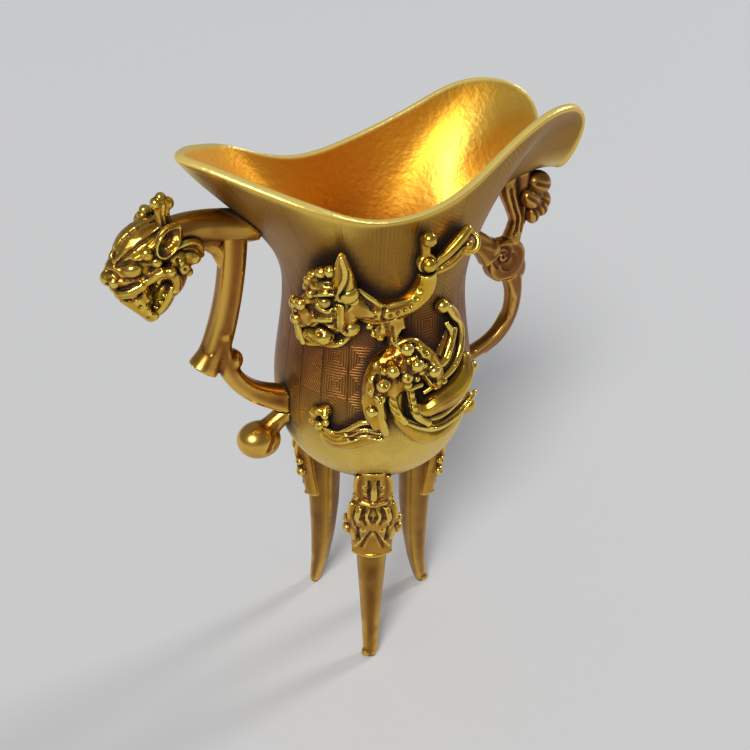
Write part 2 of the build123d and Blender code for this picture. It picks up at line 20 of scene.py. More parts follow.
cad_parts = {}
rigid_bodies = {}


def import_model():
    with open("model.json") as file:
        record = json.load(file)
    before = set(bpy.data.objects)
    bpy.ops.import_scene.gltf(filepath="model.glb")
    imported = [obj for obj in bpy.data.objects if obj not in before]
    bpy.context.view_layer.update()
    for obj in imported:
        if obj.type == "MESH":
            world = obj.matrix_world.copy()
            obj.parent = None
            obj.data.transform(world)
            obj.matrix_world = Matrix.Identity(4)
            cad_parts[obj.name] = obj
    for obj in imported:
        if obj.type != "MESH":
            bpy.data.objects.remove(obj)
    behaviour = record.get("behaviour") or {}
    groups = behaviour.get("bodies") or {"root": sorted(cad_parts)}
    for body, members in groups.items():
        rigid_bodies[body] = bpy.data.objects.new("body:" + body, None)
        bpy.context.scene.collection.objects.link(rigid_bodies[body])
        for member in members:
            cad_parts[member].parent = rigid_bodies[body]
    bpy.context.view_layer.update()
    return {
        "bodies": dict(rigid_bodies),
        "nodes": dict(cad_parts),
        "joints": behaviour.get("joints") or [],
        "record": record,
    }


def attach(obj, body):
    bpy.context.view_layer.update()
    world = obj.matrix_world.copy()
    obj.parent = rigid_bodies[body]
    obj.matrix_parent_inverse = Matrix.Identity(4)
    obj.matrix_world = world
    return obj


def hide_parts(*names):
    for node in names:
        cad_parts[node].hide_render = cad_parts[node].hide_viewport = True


log = logging.getLogger("jue_cup")
MM = 0.001
SEAM_GAP = 1e-7
WELD_GAP = 1e-6
Spot = tuple[float, float, float]
Colour = tuple[float, float, float]
MATERIALS: dict[str, bpy.types.Material] = {}
FRAME: dict = {}


# ------------------------------------------------------------------ shader expressions
class Shade:
    """A shader socket that takes part in Python expressions."""

    def __init__(self, tree: bpy.types.NodeTree, socket: bpy.types.NodeSocket) -> None:
        self.tree = tree
        self.socket = socket

    def math(self, operation: str, *others: "Shade | float") -> "Shade":
        """Add a Math node on this value.

        Args:
            operation: name of the Math node's operation.
            others: the second and third operand, where the operation has them.

        Returns:
            The node's result.
        """
        node = self.tree.nodes.new("ShaderNodeMath")
        node.operation = operation
        for socket, value in zip(node.inputs, (self, *others)):
            if isinstance(value, Shade):
                self.tree.links.new(value.socket, socket)
            else:
                socket.default_value = value
        return Shade(self.tree, node.outputs[0])

    def _swapped(self, operation: str, other: float) -> "Shade":
        """Add a Math node whose first operand is a plain number."""
        result = self.math(operation, 0.0)
        node = result.socket.node
        self.tree.links.remove(node.inputs[0].links[0])
        node.inputs[0].default_value = other
        self.tree.links.new(self.socket, node.inputs[1])
        return result

    def __add__(self, other: "Shade | float") -> "Shade":
        """Sum."""
        return self.math("ADD", other)

    __radd__ = __add__

    def __sub__(self, other: "Shade | float") -> "Shade":
        """Difference."""
        return self.math("SUBTRACT", other)

    def __rsub__(self, other: float) -> "Shade":
        """Difference from a plain number."""
        return self._swapped("SUBTRACT", other)

    def __mul__(self, other: "Shade | float") -> "Shade":
        """Product."""
        return self.math("MULTIPLY", other)

    __rmul__ = __mul__

    def fraction(self) -> "Shade":
        """Part after the decimal point."""
        return self.math("FRACT")

    def floor(self) -> "Shade":
        """Whole number below."""
        return self.math("FLOOR")

    def size(self) -> "Shade":
        """Absolute value."""
        return self.math("ABSOLUTE")

    def above(self, other: "Shade | float") -> "Shade":
        """1 where this is greater."""
        return self.math("GREATER_THAN", other)

    def larger(self, other: "Shade | float") -> "Shade":
        """Maximum."""
        return self.math("MAXIMUM", other)


class Nodes:
    """Adds nodes to one material."""

    def __init__(self, tree: bpy.types.NodeTree) -> None:
        self.tree = tree

    def add(self, kind: str, settings: dict | None = None, inputs: dict | None = None,
            output: str | int = 0) -> Shade:
        """Add any node.

        Args:
            kind: type of the node.
            settings: attributes that are set before the sockets are filled.
            inputs: values or shades for its sockets, by name or number.
            output: the socket to return.

        Returns:
            The chosen output, or the first input of a node that has no output.
        """
        node = self.tree.nodes.new(kind)
        for key, value in (settings or {}).items():
            setattr(node, key, value)
        for key, value in (inputs or {}).items():
            if isinstance(value, Shade):
                self.tree.links.new(value.socket, node.inputs[key])
            else:
                node.inputs[key].default_value = value
        socket = node.outputs[output] if node.outputs else node.inputs[0]
        return Shade(self.tree, socket)

    def mix(self, factor: Shade | float, first: Shade | tuple, second: Shade | tuple) -> Shade:
        """Blend two colours."""
        colours = {
            0: factor,
            6: first if isinstance(first, Shade) else (*first, 1.0),
            7: second if isinstance(second, Shade) else (*second, 1.0),
        }
        return self.add("ShaderNodeMix", {"data_type": "RGBA"}, colours, output=2)

    def ramp(self, value: Shade, low: float, high: float) -> Shade:
        """Smooth climb from 0 at low to 1 at high."""
        settings = {"interpolation_type": "SMOOTHSTEP"}
        inputs = {"Value": value, "From Min": low, "From Max": high}
        return self.add("ShaderNodeMapRange", settings, inputs)

    def noise(self, place: Shade, scale: float, detail: float = 2.0) -> Shade:
        """Cloudy pattern, from 0 to 1."""
        return self.add("ShaderNodeTexNoise", None, {"Vector": place, "Scale": scale, "Detail": detail})


# ------------------------------------------------------------------------- finishes
# Rows of the cup's map, from where a zone begins to fade in to where it is full.
BOTTOM_ROWS = (0.1, 1.0)
BOWL_EDGE_ROWS = (7.8, 9.6)
INSIDE_ROWS = (17.0, 18.0)
# The lip's rows get a painted highlight: a pale colour and less metal, so the rim shows bright all round.
LIP_HIGHLIGHT_ROWS = (31.80, 31.93)
LOW_TONE_ROWS = (1.6, 3.4)
HIGH_TONE_ROWS = (7.4, 9.4)


class Pattern(Enum):
    """What is engraved in a surface."""

    PLAIN = "plain"
    MEANDER = "meander"


@dataclass(frozen=True)
class Finish:
    """Gilt bronze with dark patina in the hollows, painted shade under and between parts, and bright rubbed
    high places.

    Attributes:
        name: name of the material.
        body: colour of the flat places.
        stain: colour of the clouds over the flat places.
        bright: colour of the rubbed high places.
        patina_and_shade: colour of the patina in the hollows and grooves, and of the painted shade under and
            between parts.
        roughness: roughness of the flat places.
        patina_and_shade_reach: how far the ambient occlusion looks for nearby parts, in metres; it paints
            shade under and between parts, and patina in the hollows.
        patina_and_shade_share: how much of the hollows and of the occluded places the patina and the painted
            shade take, 0 to 1.
        grain: strength of the cast grain.
        line_count: engraved lines from the middle of a cell to its edge.
        cloud_scale: clouds of patina to a metre.
        fine_scale: grains to a metre.
        bump_depth: depth of the grain and of the grooves, in metres.
        low_tone: colour low on the bowl.
        high_tone: colour of the flare.
        inside_tone: colour of the inside.
        lip_highlight_tone: pale colour painted along the lip as a highlight.
        pattern: what is engraved in the surface.
    """

    name: str
    body: Colour
    stain: Colour
    bright: Colour
    patina_and_shade: Colour = (0.030, 0.012, 0.006)
    roughness: float = 0.30
    patina_and_shade_reach: float = 0.0016
    patina_and_shade_share: float = 0.6
    grain: float = 0.25
    line_count: float = 5.0
    cloud_scale: float = 140.0
    fine_scale: float = 900.0
    bump_depth: float = 0.00012
    low_tone: Colour = (0.36, 0.175, 0.018)
    high_tone: Colour = (0.40, 0.205, 0.032)
    inside_tone: Colour = (0.92, 0.45, 0.04)
    lip_highlight_tone: Colour = (1.0, 0.86, 0.38)
    pattern: Pattern = Pattern.PLAIN

    def material(self) -> bpy.types.Material:
        """Build the node tree.

        Returns:
            The finished material.
        """
        material = bpy.data.materials.new(self.name)
        material.use_nodes = True
        tree = material.node_tree
        tree.nodes.clear()
        nodes = Nodes(tree)
        place = nodes.add("ShaderNodeTexCoord", output="Object")
        cloud = nodes.noise(place, self.cloud_scale, 3.0)
        fine = nodes.noise(place, self.fine_scale, 4.0)
        reach = {"Distance": self.patina_and_shade_reach}
        # Ambient occlusion paints shade: places with parts close over them, under the flare and between
        # pieces, darken towards the patina colour.
        open_sky = nodes.add("ShaderNodeAmbientOcclusion", {"samples": 6}, reach, "AO")
        raised = nodes.add("ShaderNodeAttribute", {"attribute_name": "raised"}, output="Fac")
        low = 0.25 + 0.35 * self.patina_and_shade_share
        hollow = 1 - nodes.ramp(open_sky + (fine - 0.5) * 0.25, low, low + 0.3)
        hollow = hollow.larger(nodes.ramp(0 - raised, 0.3, 1.6) * self.patina_and_shade_share)
        wear = nodes.ramp(raised + (cloud - 0.5) * 0.8, 0.1, 1.3)
        height = fine * self.grain * 0.6 + cloud * self.grain
        colour = nodes.mix(nodes.ramp(cloud, 0.35, 0.65), self.body, self.stain)
        inside: Shade | float = 0.0
        # lip marks where a highlight is painted along the rim.
        lip: Shade | float = 0.0
        if self.pattern is Pattern.MEANDER:
            groove, colour, inside, lip = self._engraved(nodes, fine, colour)
            streaks = nodes.add("ShaderNodeMapping", None, {"Vector": place, "Scale": (70, 70, 1100)})
            height = height - groove * 1.2 + nodes.noise(streaks, 1.0) * 0.25
            hollow = hollow * (1 - inside * 0.8)
        colour = nodes.mix(wear * (0.75 - inside * 0.2), colour, self.bright)
        # Patina in the hollows, and painted shade where the occlusion finds parts close by.
        colour = nodes.mix(hollow, colour, self.patina_and_shade)
        rough = cloud * 0.12 + hollow * 0.35 - wear * 0.08 + inside * 0.12 + self.roughness
        relief = {"Strength": 0.5, "Distance": self.bump_depth, "Height": height}
        bump = nodes.add("ShaderNodeBump", None, relief)
        shader = nodes.add("ShaderNodeBsdfPrincipled", None, {
            "Base Color": colour,
            # Less metal along the lip is part of its painted highlight.
            "Metallic": 1 - hollow * 0.55 - lip * 0.5,
            "Roughness": rough,
            "Normal": bump,
        })
        nodes.add("ShaderNodeOutputMaterial", None, {"Surface": shader})
        return material

    def _engraved(self, nodes: Nodes, fine: Shade, colour: Shade) -> tuple[Shade, Shade, Shade, Shade]:
        """Square spirals and hatched columns on the bowl, brushed flare, grainy orange inside, and a painted
        highlight along the lip.

        Args:
            nodes: the material's nodes.
            fine: small noise that roughens the lines.
            colour: the plain metal's colour.

        Returns:
            Depth of the grooves, the colour with the lip's painted highlight, and how much of a place is
            inside the cup or on its lip.
        """
        uv = nodes.add("ShaderNodeUVMap", {"uv_map": "skin"})
        across = nodes.add("ShaderNodeSeparateXYZ", None, {"Vector": uv}, "X") + (fine - 0.5) * 0.05
        up = nodes.add("ShaderNodeSeparateXYZ", None, {"Vector": uv}, "Y") + (fine - 0.5) * 0.05
        column, row = across.floor(), up.floor()
        x, y = across.fraction() - 0.5, up.fraction() - 0.5
        ring = x.size().larger(y.size())
        turn = (x + y).above(0.0) * 0.5 + (x - y).above(0.0) * 0.5
        spiral = ((ring * 2.0 * self.line_count) + turn).fraction()
        hatch = ((x + y * 0.8) * self.line_count * 1.7).fraction()
        chosen = (column * 0.37 + row * 0.13).fraction().above(0.3)
        stripe = spiral * chosen + hatch * (1 - chosen)
        line = nodes.ramp((stripe - 0.5).size(), 0.2, 0.42)
        seam = nodes.ramp(x.size(), 0.44, 0.48)
        on_bowl = nodes.ramp(up, *BOTTOM_ROWS) * (1 - nodes.ramp(up, *BOWL_EDGE_ROWS) * 0.75)
        inside = nodes.ramp(up, *INSIDE_ROWS)
        groove = line.larger(seam) * on_bowl * (1 - inside)
        colour = nodes.mix((1 - nodes.ramp(up, *LOW_TONE_ROWS)) * 0.8, colour, self.low_tone)
        colour = nodes.mix(nodes.ramp(up, *HIGH_TONE_ROWS), colour, self.high_tone)
        colour = nodes.mix(groove * (0.45 + fine * 0.55), colour, self.patina_and_shade)
        colour = nodes.mix(inside, colour, self.inside_tone)
        # The lip's pale colour is a painted highlight.
        lip = nodes.ramp(up, *LIP_HIGHLIGHT_ROWS)
        return groove - inside * fine * 1.6, nodes.mix(lip, colour, self.lip_highlight_tone), inside - lip, lip


# The cup's wide occlusion reach paints shade under the flare and beside the relief.
CUP_SKIN = Finish("engraved_gilt", (0.43, 0.18, 0.040), (0.28, 0.095, 0.024), (1.0, 0.72, 0.14),
                  roughness=0.32, patina_and_shade_reach=0.008, patina_and_shade_share=0.85, pattern=Pattern.MEANDER)
HANDLE_SKIN = Finish("rubbed_gilt", (0.38, 0.165, 0.027), (0.22, 0.062, 0.018), (1.0, 0.62, 0.11),
                     roughness=0.24, patina_and_shade_reach=0.0014)
TAIL_SKIN = Finish("brown_gilt", (0.32, 0.145, 0.030), (0.20, 0.068, 0.020), (0.80, 0.44, 0.09),
                   roughness=0.28, patina_and_shade_reach=0.0016, patina_and_shade_share=0.7)
MASK_SKIN = Finish("mask_gilt", (0.56, 0.29, 0.035), (0.36, 0.15, 0.025), (1.0, 0.70, 0.13),
                   roughness=0.22, patina_and_shade_reach=0.0016, patina_and_shade_share=0.8)
RELIEF_SKIN = Finish("bright_gilt", (0.70, 0.41, 0.034), (0.44, 0.175, 0.020), (1.0, 0.80, 0.16),
                     roughness=0.19, patina_and_shade_reach=0.0016, patina_and_shade_share=0.85)
LEG_SKIN = Finish("dark_gilt", (0.34, 0.165, 0.026), (0.20, 0.080, 0.018), (0.90, 0.54, 0.09),
                  roughness=0.28, patina_and_shade_reach=0.0018)


# -------------------------------------------------------------------- the cup's form
def at(x: float, y: float, z: float) -> Vector:
    """Place from its coordinates in millimetres."""
    return Vector((x, y, z)) * MM


def smooth_step(value: np.ndarray) -> np.ndarray:
    """Ramp from 0 to 1 with level ends."""
    clamped = np.clip(value, 0.0, 1.0)
    return clamped * clamped * (3 - 2 * clamped)


@dataclass
class CupForm:
    """Outer skin of the cup, in metres, by a place's share of the rim and its rise."""

    wall: float = 1.4 * MM
    belly_radius: float = 19.46 * MM
    belly_height: float = 67.4 * MM
    bottom_height: float = 48.3 * MM
    bottom_fullness: float = 2.4
    bottom_flat: float = 2.5 * MM
    neck_radius: float = 16.9 * MM
    neck_height: float = 89.9 * MM
    spout_reach: float = 35.0 * MM
    spout_tip_height: float = 117.6 * MM
    mouth_width: float = 35.8 * MM
    saddle_height: float = 108.3 * MM
    tail_reach: float = 41.5 * MM
    tail_crest_height: float = 118.3 * MM
    tail_tip_height: float = 101.8 * MM
    flare_rise: float = 0.33
    lip_length: float = 0.30
    curl_start: float = 0.62
    curl_direction: Spot = (0.922, 0.0, -0.387)
    spout_stations: tuple[Spot, ...] = (
        (1.00, 0.00, 1.00), (0.955, 0.22, 0.965), (0.82, 0.545, 0.78),
        (0.543, 0.975, 0.36), (0.233, 1.00, 0.00),
    )
    tail_stations: tuple[Spot, ...] = ((0.086, 0.988, 0.104), (0.417, 0.826, 0.634), (0.698, 0.702, 1.0))
    lip_stations: tuple[Spot, ...] = ((0.977, 0.435, 0.31), (1.005, 0.24, 0.78), (1.02, 0.0, 0.97))
    rim: np.ndarray = field(init=False)
    rim_share: np.ndarray = field(init=False)

    def __post_init__(self) -> None:
        """Trace the rim once, by length along it."""
        half = self.mouth_width / 2
        spout_climb = self.spout_tip_height - self.saddle_height
        tail_climb = self.tail_crest_height - self.saddle_height
        lip_drop = self.tail_crest_height - self.tail_tip_height
        near = [(-r * self.spout_reach, -s * half, self.saddle_height + c * spout_climb)
                for r, s, c in self.spout_stations]
        near += [(r * self.tail_reach, -s * half, self.saddle_height + c * tail_climb)
                 for r, s, c in self.tail_stations]
        near += [(r * self.tail_reach, -s * half, self.tail_crest_height - d * lip_drop)
                 for r, s, d in self.lip_stations]
        far = [(x, -y, z) for x, y, z in reversed(near[1:-1])]
        self.rim = self._closed_spline(np.array(near + far))
        steps = np.linalg.norm(np.diff(self.rim, axis=0), axis=1)
        length = np.concatenate([[0.0], np.cumsum(steps)])
        self.rim_share = 2 * length / length[-1]

    @staticmethod
    def _closed_spline(knots: np.ndarray, per_span: int = 120) -> np.ndarray:
        """Smooth closed curve through places, with knots by their distances.

        Args:
            knots: the places, without the first one repeated.
            per_span: points traced between two places.

        Returns:
            Points along the curve, the first one repeated at the end.
        """
        count = len(knots)
        after = np.roll(knots, -1, axis=0)
        gap = np.linalg.norm(after - knots, axis=1)
        before_gap = np.roll(gap, 1)
        slope = (after - knots) / gap[:, None]
        matrix = np.zeros((count, count))
        right = 6 * (slope - np.roll(slope, 1, axis=0))
        for index in range(count):
            matrix[index, index] = 2 * (gap[index] + before_gap[index])
            matrix[index, (index + 1) % count] += gap[index]
            matrix[index, (index - 1) % count] += before_gap[index]
        bend = np.linalg.solve(matrix, right)
        bend_after = np.roll(bend, -1, axis=0)
        t = np.linspace(0, 1, per_span, endpoint=False)[None, :, None]
        h = gap[:, None, None]
        a, b = knots[:, None], after[:, None]
        ma, mb = bend[:, None], bend_after[:, None]
        curve = (a * (1 - t) + b * t
                 + h**2 / 6 * (((1 - t) ** 3 - (1 - t)) * ma + (t**3 - t) * mb))
        points = curve.reshape(-1, 3)
        return np.vstack([points, points[:1]])

    def rim_at(self, share: np.ndarray) -> np.ndarray:
        """Places on the rim, 0 at the spout, 1 at the tail, up to 2 back along the far side."""
        return np.stack([np.interp(share, self.rim_share, self.rim[:, k]) for k in range(3)], -1)

    def point(self, share: np.ndarray | float, rise: np.ndarray | float) -> np.ndarray:
        """Places on the skin, rise 0 at the flat spot, 1 at the neck and 2 at the rim.

        Args:
            share: share of the rim, 0 to 1 on the relief side and 1 to 2 on the far side.
            rise: height along the skin.

        Returns:
            Places with their coordinates along the last axis.
        """
        share, rise = np.broadcast_arrays(np.asarray(share, float), np.asarray(rise, float))
        mirrored = share > 1
        near = np.where(mirrored, 2 - share, share)
        rim = self.rim_at(near)
        seen = np.arctan2(np.minimum(rim[..., 1], -1e-12), rim[..., 0])
        azimuth = (seen - math.pi * (1 - near)) / 2
        radius, height = self._bowl(np.minimum(rise, 1.0))
        bowl = np.stack([radius * np.cos(azimuth), radius * np.sin(azimuth), height], -1)
        flare = self._flare(near, np.clip(rise - 1, 0, 1), azimuth, rim)
        place = np.where((rise > 1)[..., None], flare, bowl)
        place[..., 1] = np.where(mirrored, -place[..., 1], place[..., 1])
        return place

    def _bowl(self, rise: np.ndarray) -> tuple[np.ndarray, np.ndarray]:
        """Radius and height of the bowl's skin."""
        power = 2 / self.bottom_fullness
        start = math.asin((self.bottom_flat / self.belly_radius) ** (1 / power))
        turn = start + (math.pi / 2 - start) * np.clip(2 * rise, 0, 1)
        low_radius = self.belly_radius * np.sin(turn) ** power
        depth = np.maximum(np.cos(turn), 0) ** power
        low_height = self.belly_height - (self.belly_height - self.bottom_height) * depth
        climb = np.clip(2 * rise - 1, 0, 1)
        high_height = self.belly_height + (self.neck_height - self.belly_height) * climb
        high_radius = self.belly_radius + (self.neck_radius - self.belly_radius) * smooth_step(climb)
        low = rise < 0.5
        return np.where(low, low_radius, high_radius), np.where(low, low_height, high_height)

    def _flare(self, share: np.ndarray, climb: np.ndarray, azimuth: np.ndarray,
               rim: np.ndarray) -> np.ndarray:
        """Skin between the neck and the rim, as a Bezier curve in each direction."""
        neck = np.stack([self.neck_radius * np.cos(azimuth), self.neck_radius * np.sin(azimuth),
                         np.full_like(azimuth, self.neck_height)], -1)
        reach = np.linalg.norm(rim - neck, axis=-1, keepdims=True)
        curl = smooth_step((share - self.curl_start) / (1 - self.curl_start))[..., None]
        leaving = (rim - neck) / reach * (1 - curl) + np.array(self.curl_direction) * curl
        leaving /= np.linalg.norm(leaving, axis=-1, keepdims=True)
        low = neck + np.array([0, 0, 1]) * self.flare_rise * reach
        high = rim - leaving * self.lip_length * reach
        c = climb[..., None]
        return (neck * (1 - c) ** 3 + low * 3 * (1 - c) ** 2 * c
                + high * 3 * (1 - c) * c**2 + rim * c**3)

    def normal(self, share: np.ndarray | float, rise: np.ndarray | float) -> np.ndarray:
        """Outward directions of the skin."""
        share, rise = np.broadcast_arrays(np.asarray(share, float), np.asarray(rise, float))
        step = 0.004
        left, right = np.maximum(share - step, 0), np.minimum(share + step, 2)
        low, high = np.maximum(rise - step, 0.002), np.minimum(rise + step, 2)
        along = self.point(right, rise) - self.point(left, rise)
        at_ends = (share < step) | (share > 2 - step)
        along[..., 0] = np.where(at_ends, 0, along[..., 0])
        along[..., 2] = np.where(at_ends, 0, along[..., 2])
        up = self.point(share, high) - self.point(share, low)
        normal = np.cross(along, up)
        return normal / np.linalg.norm(normal, axis=-1, keepdims=True)

    def on_skin(self, share: float, rise: float, lift: float = 0.0) -> Vector:
        """Place over the skin, at a height in millimetres."""
        return Vector(self.point(share, rise) + self.normal(share, rise) * lift * MM)


# ------------------------------------------------------------------------ modelling
class Bench:
    """Small operations that every piece uses."""

    @staticmethod
    def clear_selection() -> None:
        """Deselect everything, because operators act on all that is selected."""
        bpy.ops.object.select_all(action="DESELECT")

    @staticmethod
    def pick(*objects: bpy.types.Object) -> bpy.types.Object:
        """Select objects only, and make the first one active."""
        Bench.clear_selection()
        for thing in objects:
            thing.select_set(True)
        bpy.context.view_layer.objects.active = objects[0]
        return objects[0]

    @staticmethod
    def apply(thing: bpy.types.Object, kind: str, **settings: object) -> None:
        """Add a modifier and apply it.

        Args:
            thing: the object.
            kind: the modifier's type.
            settings: its attributes.
        """
        Bench.pick(thing)
        modifier = thing.modifiers.new(kind.lower(), kind)
        for key, value in settings.items():
            setattr(modifier, key, value)
        bpy.ops.object.modifier_apply(modifier=modifier.name)

    @staticmethod
    def settle(thing: bpy.types.Object) -> None:
        """Put the object's place, turn and scale into its mesh."""
        Bench.pick(thing)
        bpy.ops.object.transform_apply(location=True, rotation=True, scale=True)

    @staticmethod
    def close(thing: bpy.types.Object) -> None:
        """Sew a wrapped grid's seam, fill its ends, and turn its faces outward."""
        Bench.pick(thing)
        bpy.ops.object.mode_set(mode="EDIT")
        bpy.ops.mesh.select_all(action="SELECT")
        bpy.ops.mesh.remove_doubles(threshold=SEAM_GAP)
        bpy.ops.mesh.select_all(action="DESELECT")
        bpy.ops.mesh.select_non_manifold()
        bpy.ops.mesh.fill_holes(sides=0)
        bpy.ops.mesh.select_all(action="SELECT")
        bpy.ops.mesh.normals_make_consistent(inside=False)
        bpy.ops.object.mode_set(mode="OBJECT")

    @staticmethod
    def vertices(thing: bpy.types.Object) -> np.ndarray:
        """Places of the mesh's vertices."""
        places = np.empty(len(thing.data.vertices) * 3, dtype=np.float32)
        thing.data.vertices.foreach_get("co", places)
        return places.reshape(-1, 3).astype(float)

    @staticmethod
    def normals(thing: bpy.types.Object) -> np.ndarray:
        """Outward directions at the mesh's vertices."""
        directions = np.empty(len(thing.data.vertices) * 3, dtype=np.float32)
        thing.data.vertices.foreach_get("normal", directions)
        return directions.reshape(-1, 3).astype(float)

    @staticmethod
    def move_vertices(thing: bpy.types.Object, places: np.ndarray) -> None:
        """Give the mesh's vertices new places."""
        thing.data.vertices.foreach_set("co", places.astype(np.float32).ravel())
        thing.data.update()


class Clay:
    """A lump that is built up from simple forms, fused into one skin, and carved."""

    wall: ClassVar[KDTree]
    wall_normals: ClassVar[list[Vector]]

    def __init__(self, name: str) -> None:
        self.name = name
        self.lumps: list[bpy.types.Object] = []
        self.nodes: list[str] = []

    def solid(self, *nodes: str) -> "Clay":
        """Start from copies of the CAD nodes that this piece stands for.

        Args:
            nodes: names of the nodes.

        Returns:
            The same lump.
        """
        for node in nodes:
            source = FRAME["nodes"][node]
            copy = bpy.data.objects.new(f"{self.name}_{node}", source.data.copy())
            bpy.context.scene.collection.objects.link(copy)
            copy.matrix_world = source.matrix_world
            Bench.pick(copy)
            bpy.ops.object.mode_set(mode="EDIT")
            bpy.ops.mesh.select_all(action="SELECT")
            bpy.ops.mesh.remove_doubles(threshold=WELD_GAP)
            bpy.ops.object.mode_set(mode="OBJECT")
            self.lumps.append(copy)
            self.nodes.append(node)
        return self

    def stand_for(self, *nodes: str) -> "Clay":
        """Name CAD nodes that this piece replaces without starting from their solids."""
        self.nodes += nodes
        return self

    def bead(self, place: Vector, radius: float, squash: Spot = (1, 1, 1)) -> "Clay":
        """Add a round bead, its radius in millimetres."""
        bpy.ops.mesh.primitive_ico_sphere_add(subdivisions=3, radius=radius * MM, location=place)
        bpy.context.object.scale = squash
        Bench.settle(bpy.context.object)
        self.lumps.append(bpy.context.object)
        return self

    def egg(self, start: Vector, end: Vector, radius: float, flat: float = 1.0,
            flat_axis: Vector | None = None) -> "Clay":
        """Add a spheroid between two places.

        Args:
            start: one pole.
            end: the other pole.
            radius: half its width, in millimetres.
            flat: its thickness over its width.
            flat_axis: the direction of its thickness.

        Returns:
            The same lump.
        """
        axis = end - start
        side = (flat_axis or Vector((0, 1, 0))).cross(axis).normalized()
        thick = axis.cross(side).normalized()
        turn = Matrix((side, thick, axis.normalized())).transposed().to_4x4()
        scale = Matrix.Diagonal((radius * MM, radius * MM * flat, axis.length / 2, 1))
        bpy.ops.mesh.primitive_ico_sphere_add(subdivisions=3, radius=1)
        bpy.context.object.matrix_world = Matrix.Translation((start + end) / 2) @ turn @ scale
        Bench.settle(bpy.context.object)
        self.lumps.append(bpy.context.object)
        return self

    def strand(self, path: Sequence[Vector], radii: Sequence[float]) -> "Clay":
        """Add a round strand along a smooth path, its radii in millimetres."""
        curve = bpy.data.curves.new(f"{self.name}_strand", "CURVE")
        curve.dimensions = "3D"
        curve.bevel_depth = MM
        curve.bevel_resolution = 3
        curve.resolution_u = 6
        curve.use_fill_caps = True
        spline = curve.splines.new("BEZIER")
        spline.bezier_points.add(len(path) - 1)
        for point, place, radius in zip(spline.bezier_points, path, radii):
            point.co = place
            point.radius = radius
            point.handle_left_type = point.handle_right_type = "AUTO"
        thing = bpy.data.objects.new(f"{self.name}_strand", curve)
        bpy.context.scene.collection.objects.link(thing)
        Bench.pick(thing)
        bpy.ops.object.convert(target="MESH")
        self.lumps.append(bpy.context.object)
        self.bead(path[-1], radii[-1])
        self.bead(path[0], radii[0])
        return self

    def fuse(self, voxel: float = 0.25, rounds: int = 3) -> "Carving":
        """Join all the lumps into one skin.

        Args:
            voxel: size of the skin's faces, in millimetres.
            rounds: how often the skin is smoothed.

        Returns:
            The skin, ready to carve.
        """
        thing = Bench.pick(*self.lumps)
        if len(self.lumps) > 1:
            bpy.ops.object.join()
        thing.name = thing.data.name = self.name
        Bench.settle(thing)
        thing.data.remesh_voxel_size = voxel * MM
        thing.data.remesh_voxel_adaptivity = 0.0
        bpy.ops.object.voxel_remesh()
        if rounds:
            Bench.apply(thing, "SMOOTH", factor=0.5, iterations=rounds)
        self._keep_outside(thing)
        return Carving(thing, self.nodes)

    def _keep_outside(self, thing: bpy.types.Object, deepest: float = 0.8 * MM,
                      farthest: float = 8 * MM) -> None:
        """Push what reaches through the cup's wall back into the wall.

        Args:
            thing: the fused skin.
            deepest: how far a vertex may lie under the cup's outer skin.
            farthest: a vertex farther than this from the skin is left alone.
        """
        places = Bench.vertices(thing)
        for index, place in enumerate(places):
            foot, number, gap = self.wall.find(place)
            depth = -(Vector(place) - foot).dot(self.wall_normals[number])
            if gap < farthest and depth > deepest:
                places[index] = place + np.array(self.wall_normals[number]) * (depth - deepest)
        Bench.move_vertices(thing, places)

    @classmethod
    def lean_on(cls, form: CupForm, columns: int = 240, rows: int = 160) -> None:
        """Tell every lump where the cup's wall is.

        Args:
            form: the cup's skin.
            columns: places round the rim.
            rows: places from the flat spot to the rim.
        """
        share, rise = np.meshgrid(np.linspace(0, 2, columns + 1)[:-1], np.linspace(0.01, 2, rows))
        places, normals = form.point(share.ravel(), rise.ravel()), form.normal(share.ravel(), rise.ravel())
        cls.wall = KDTree(len(places))
        for index, place in enumerate(places):
            cls.wall.insert(place, index)
        cls.wall.balance()
        cls.wall_normals = [Vector(normal) for normal in normals]


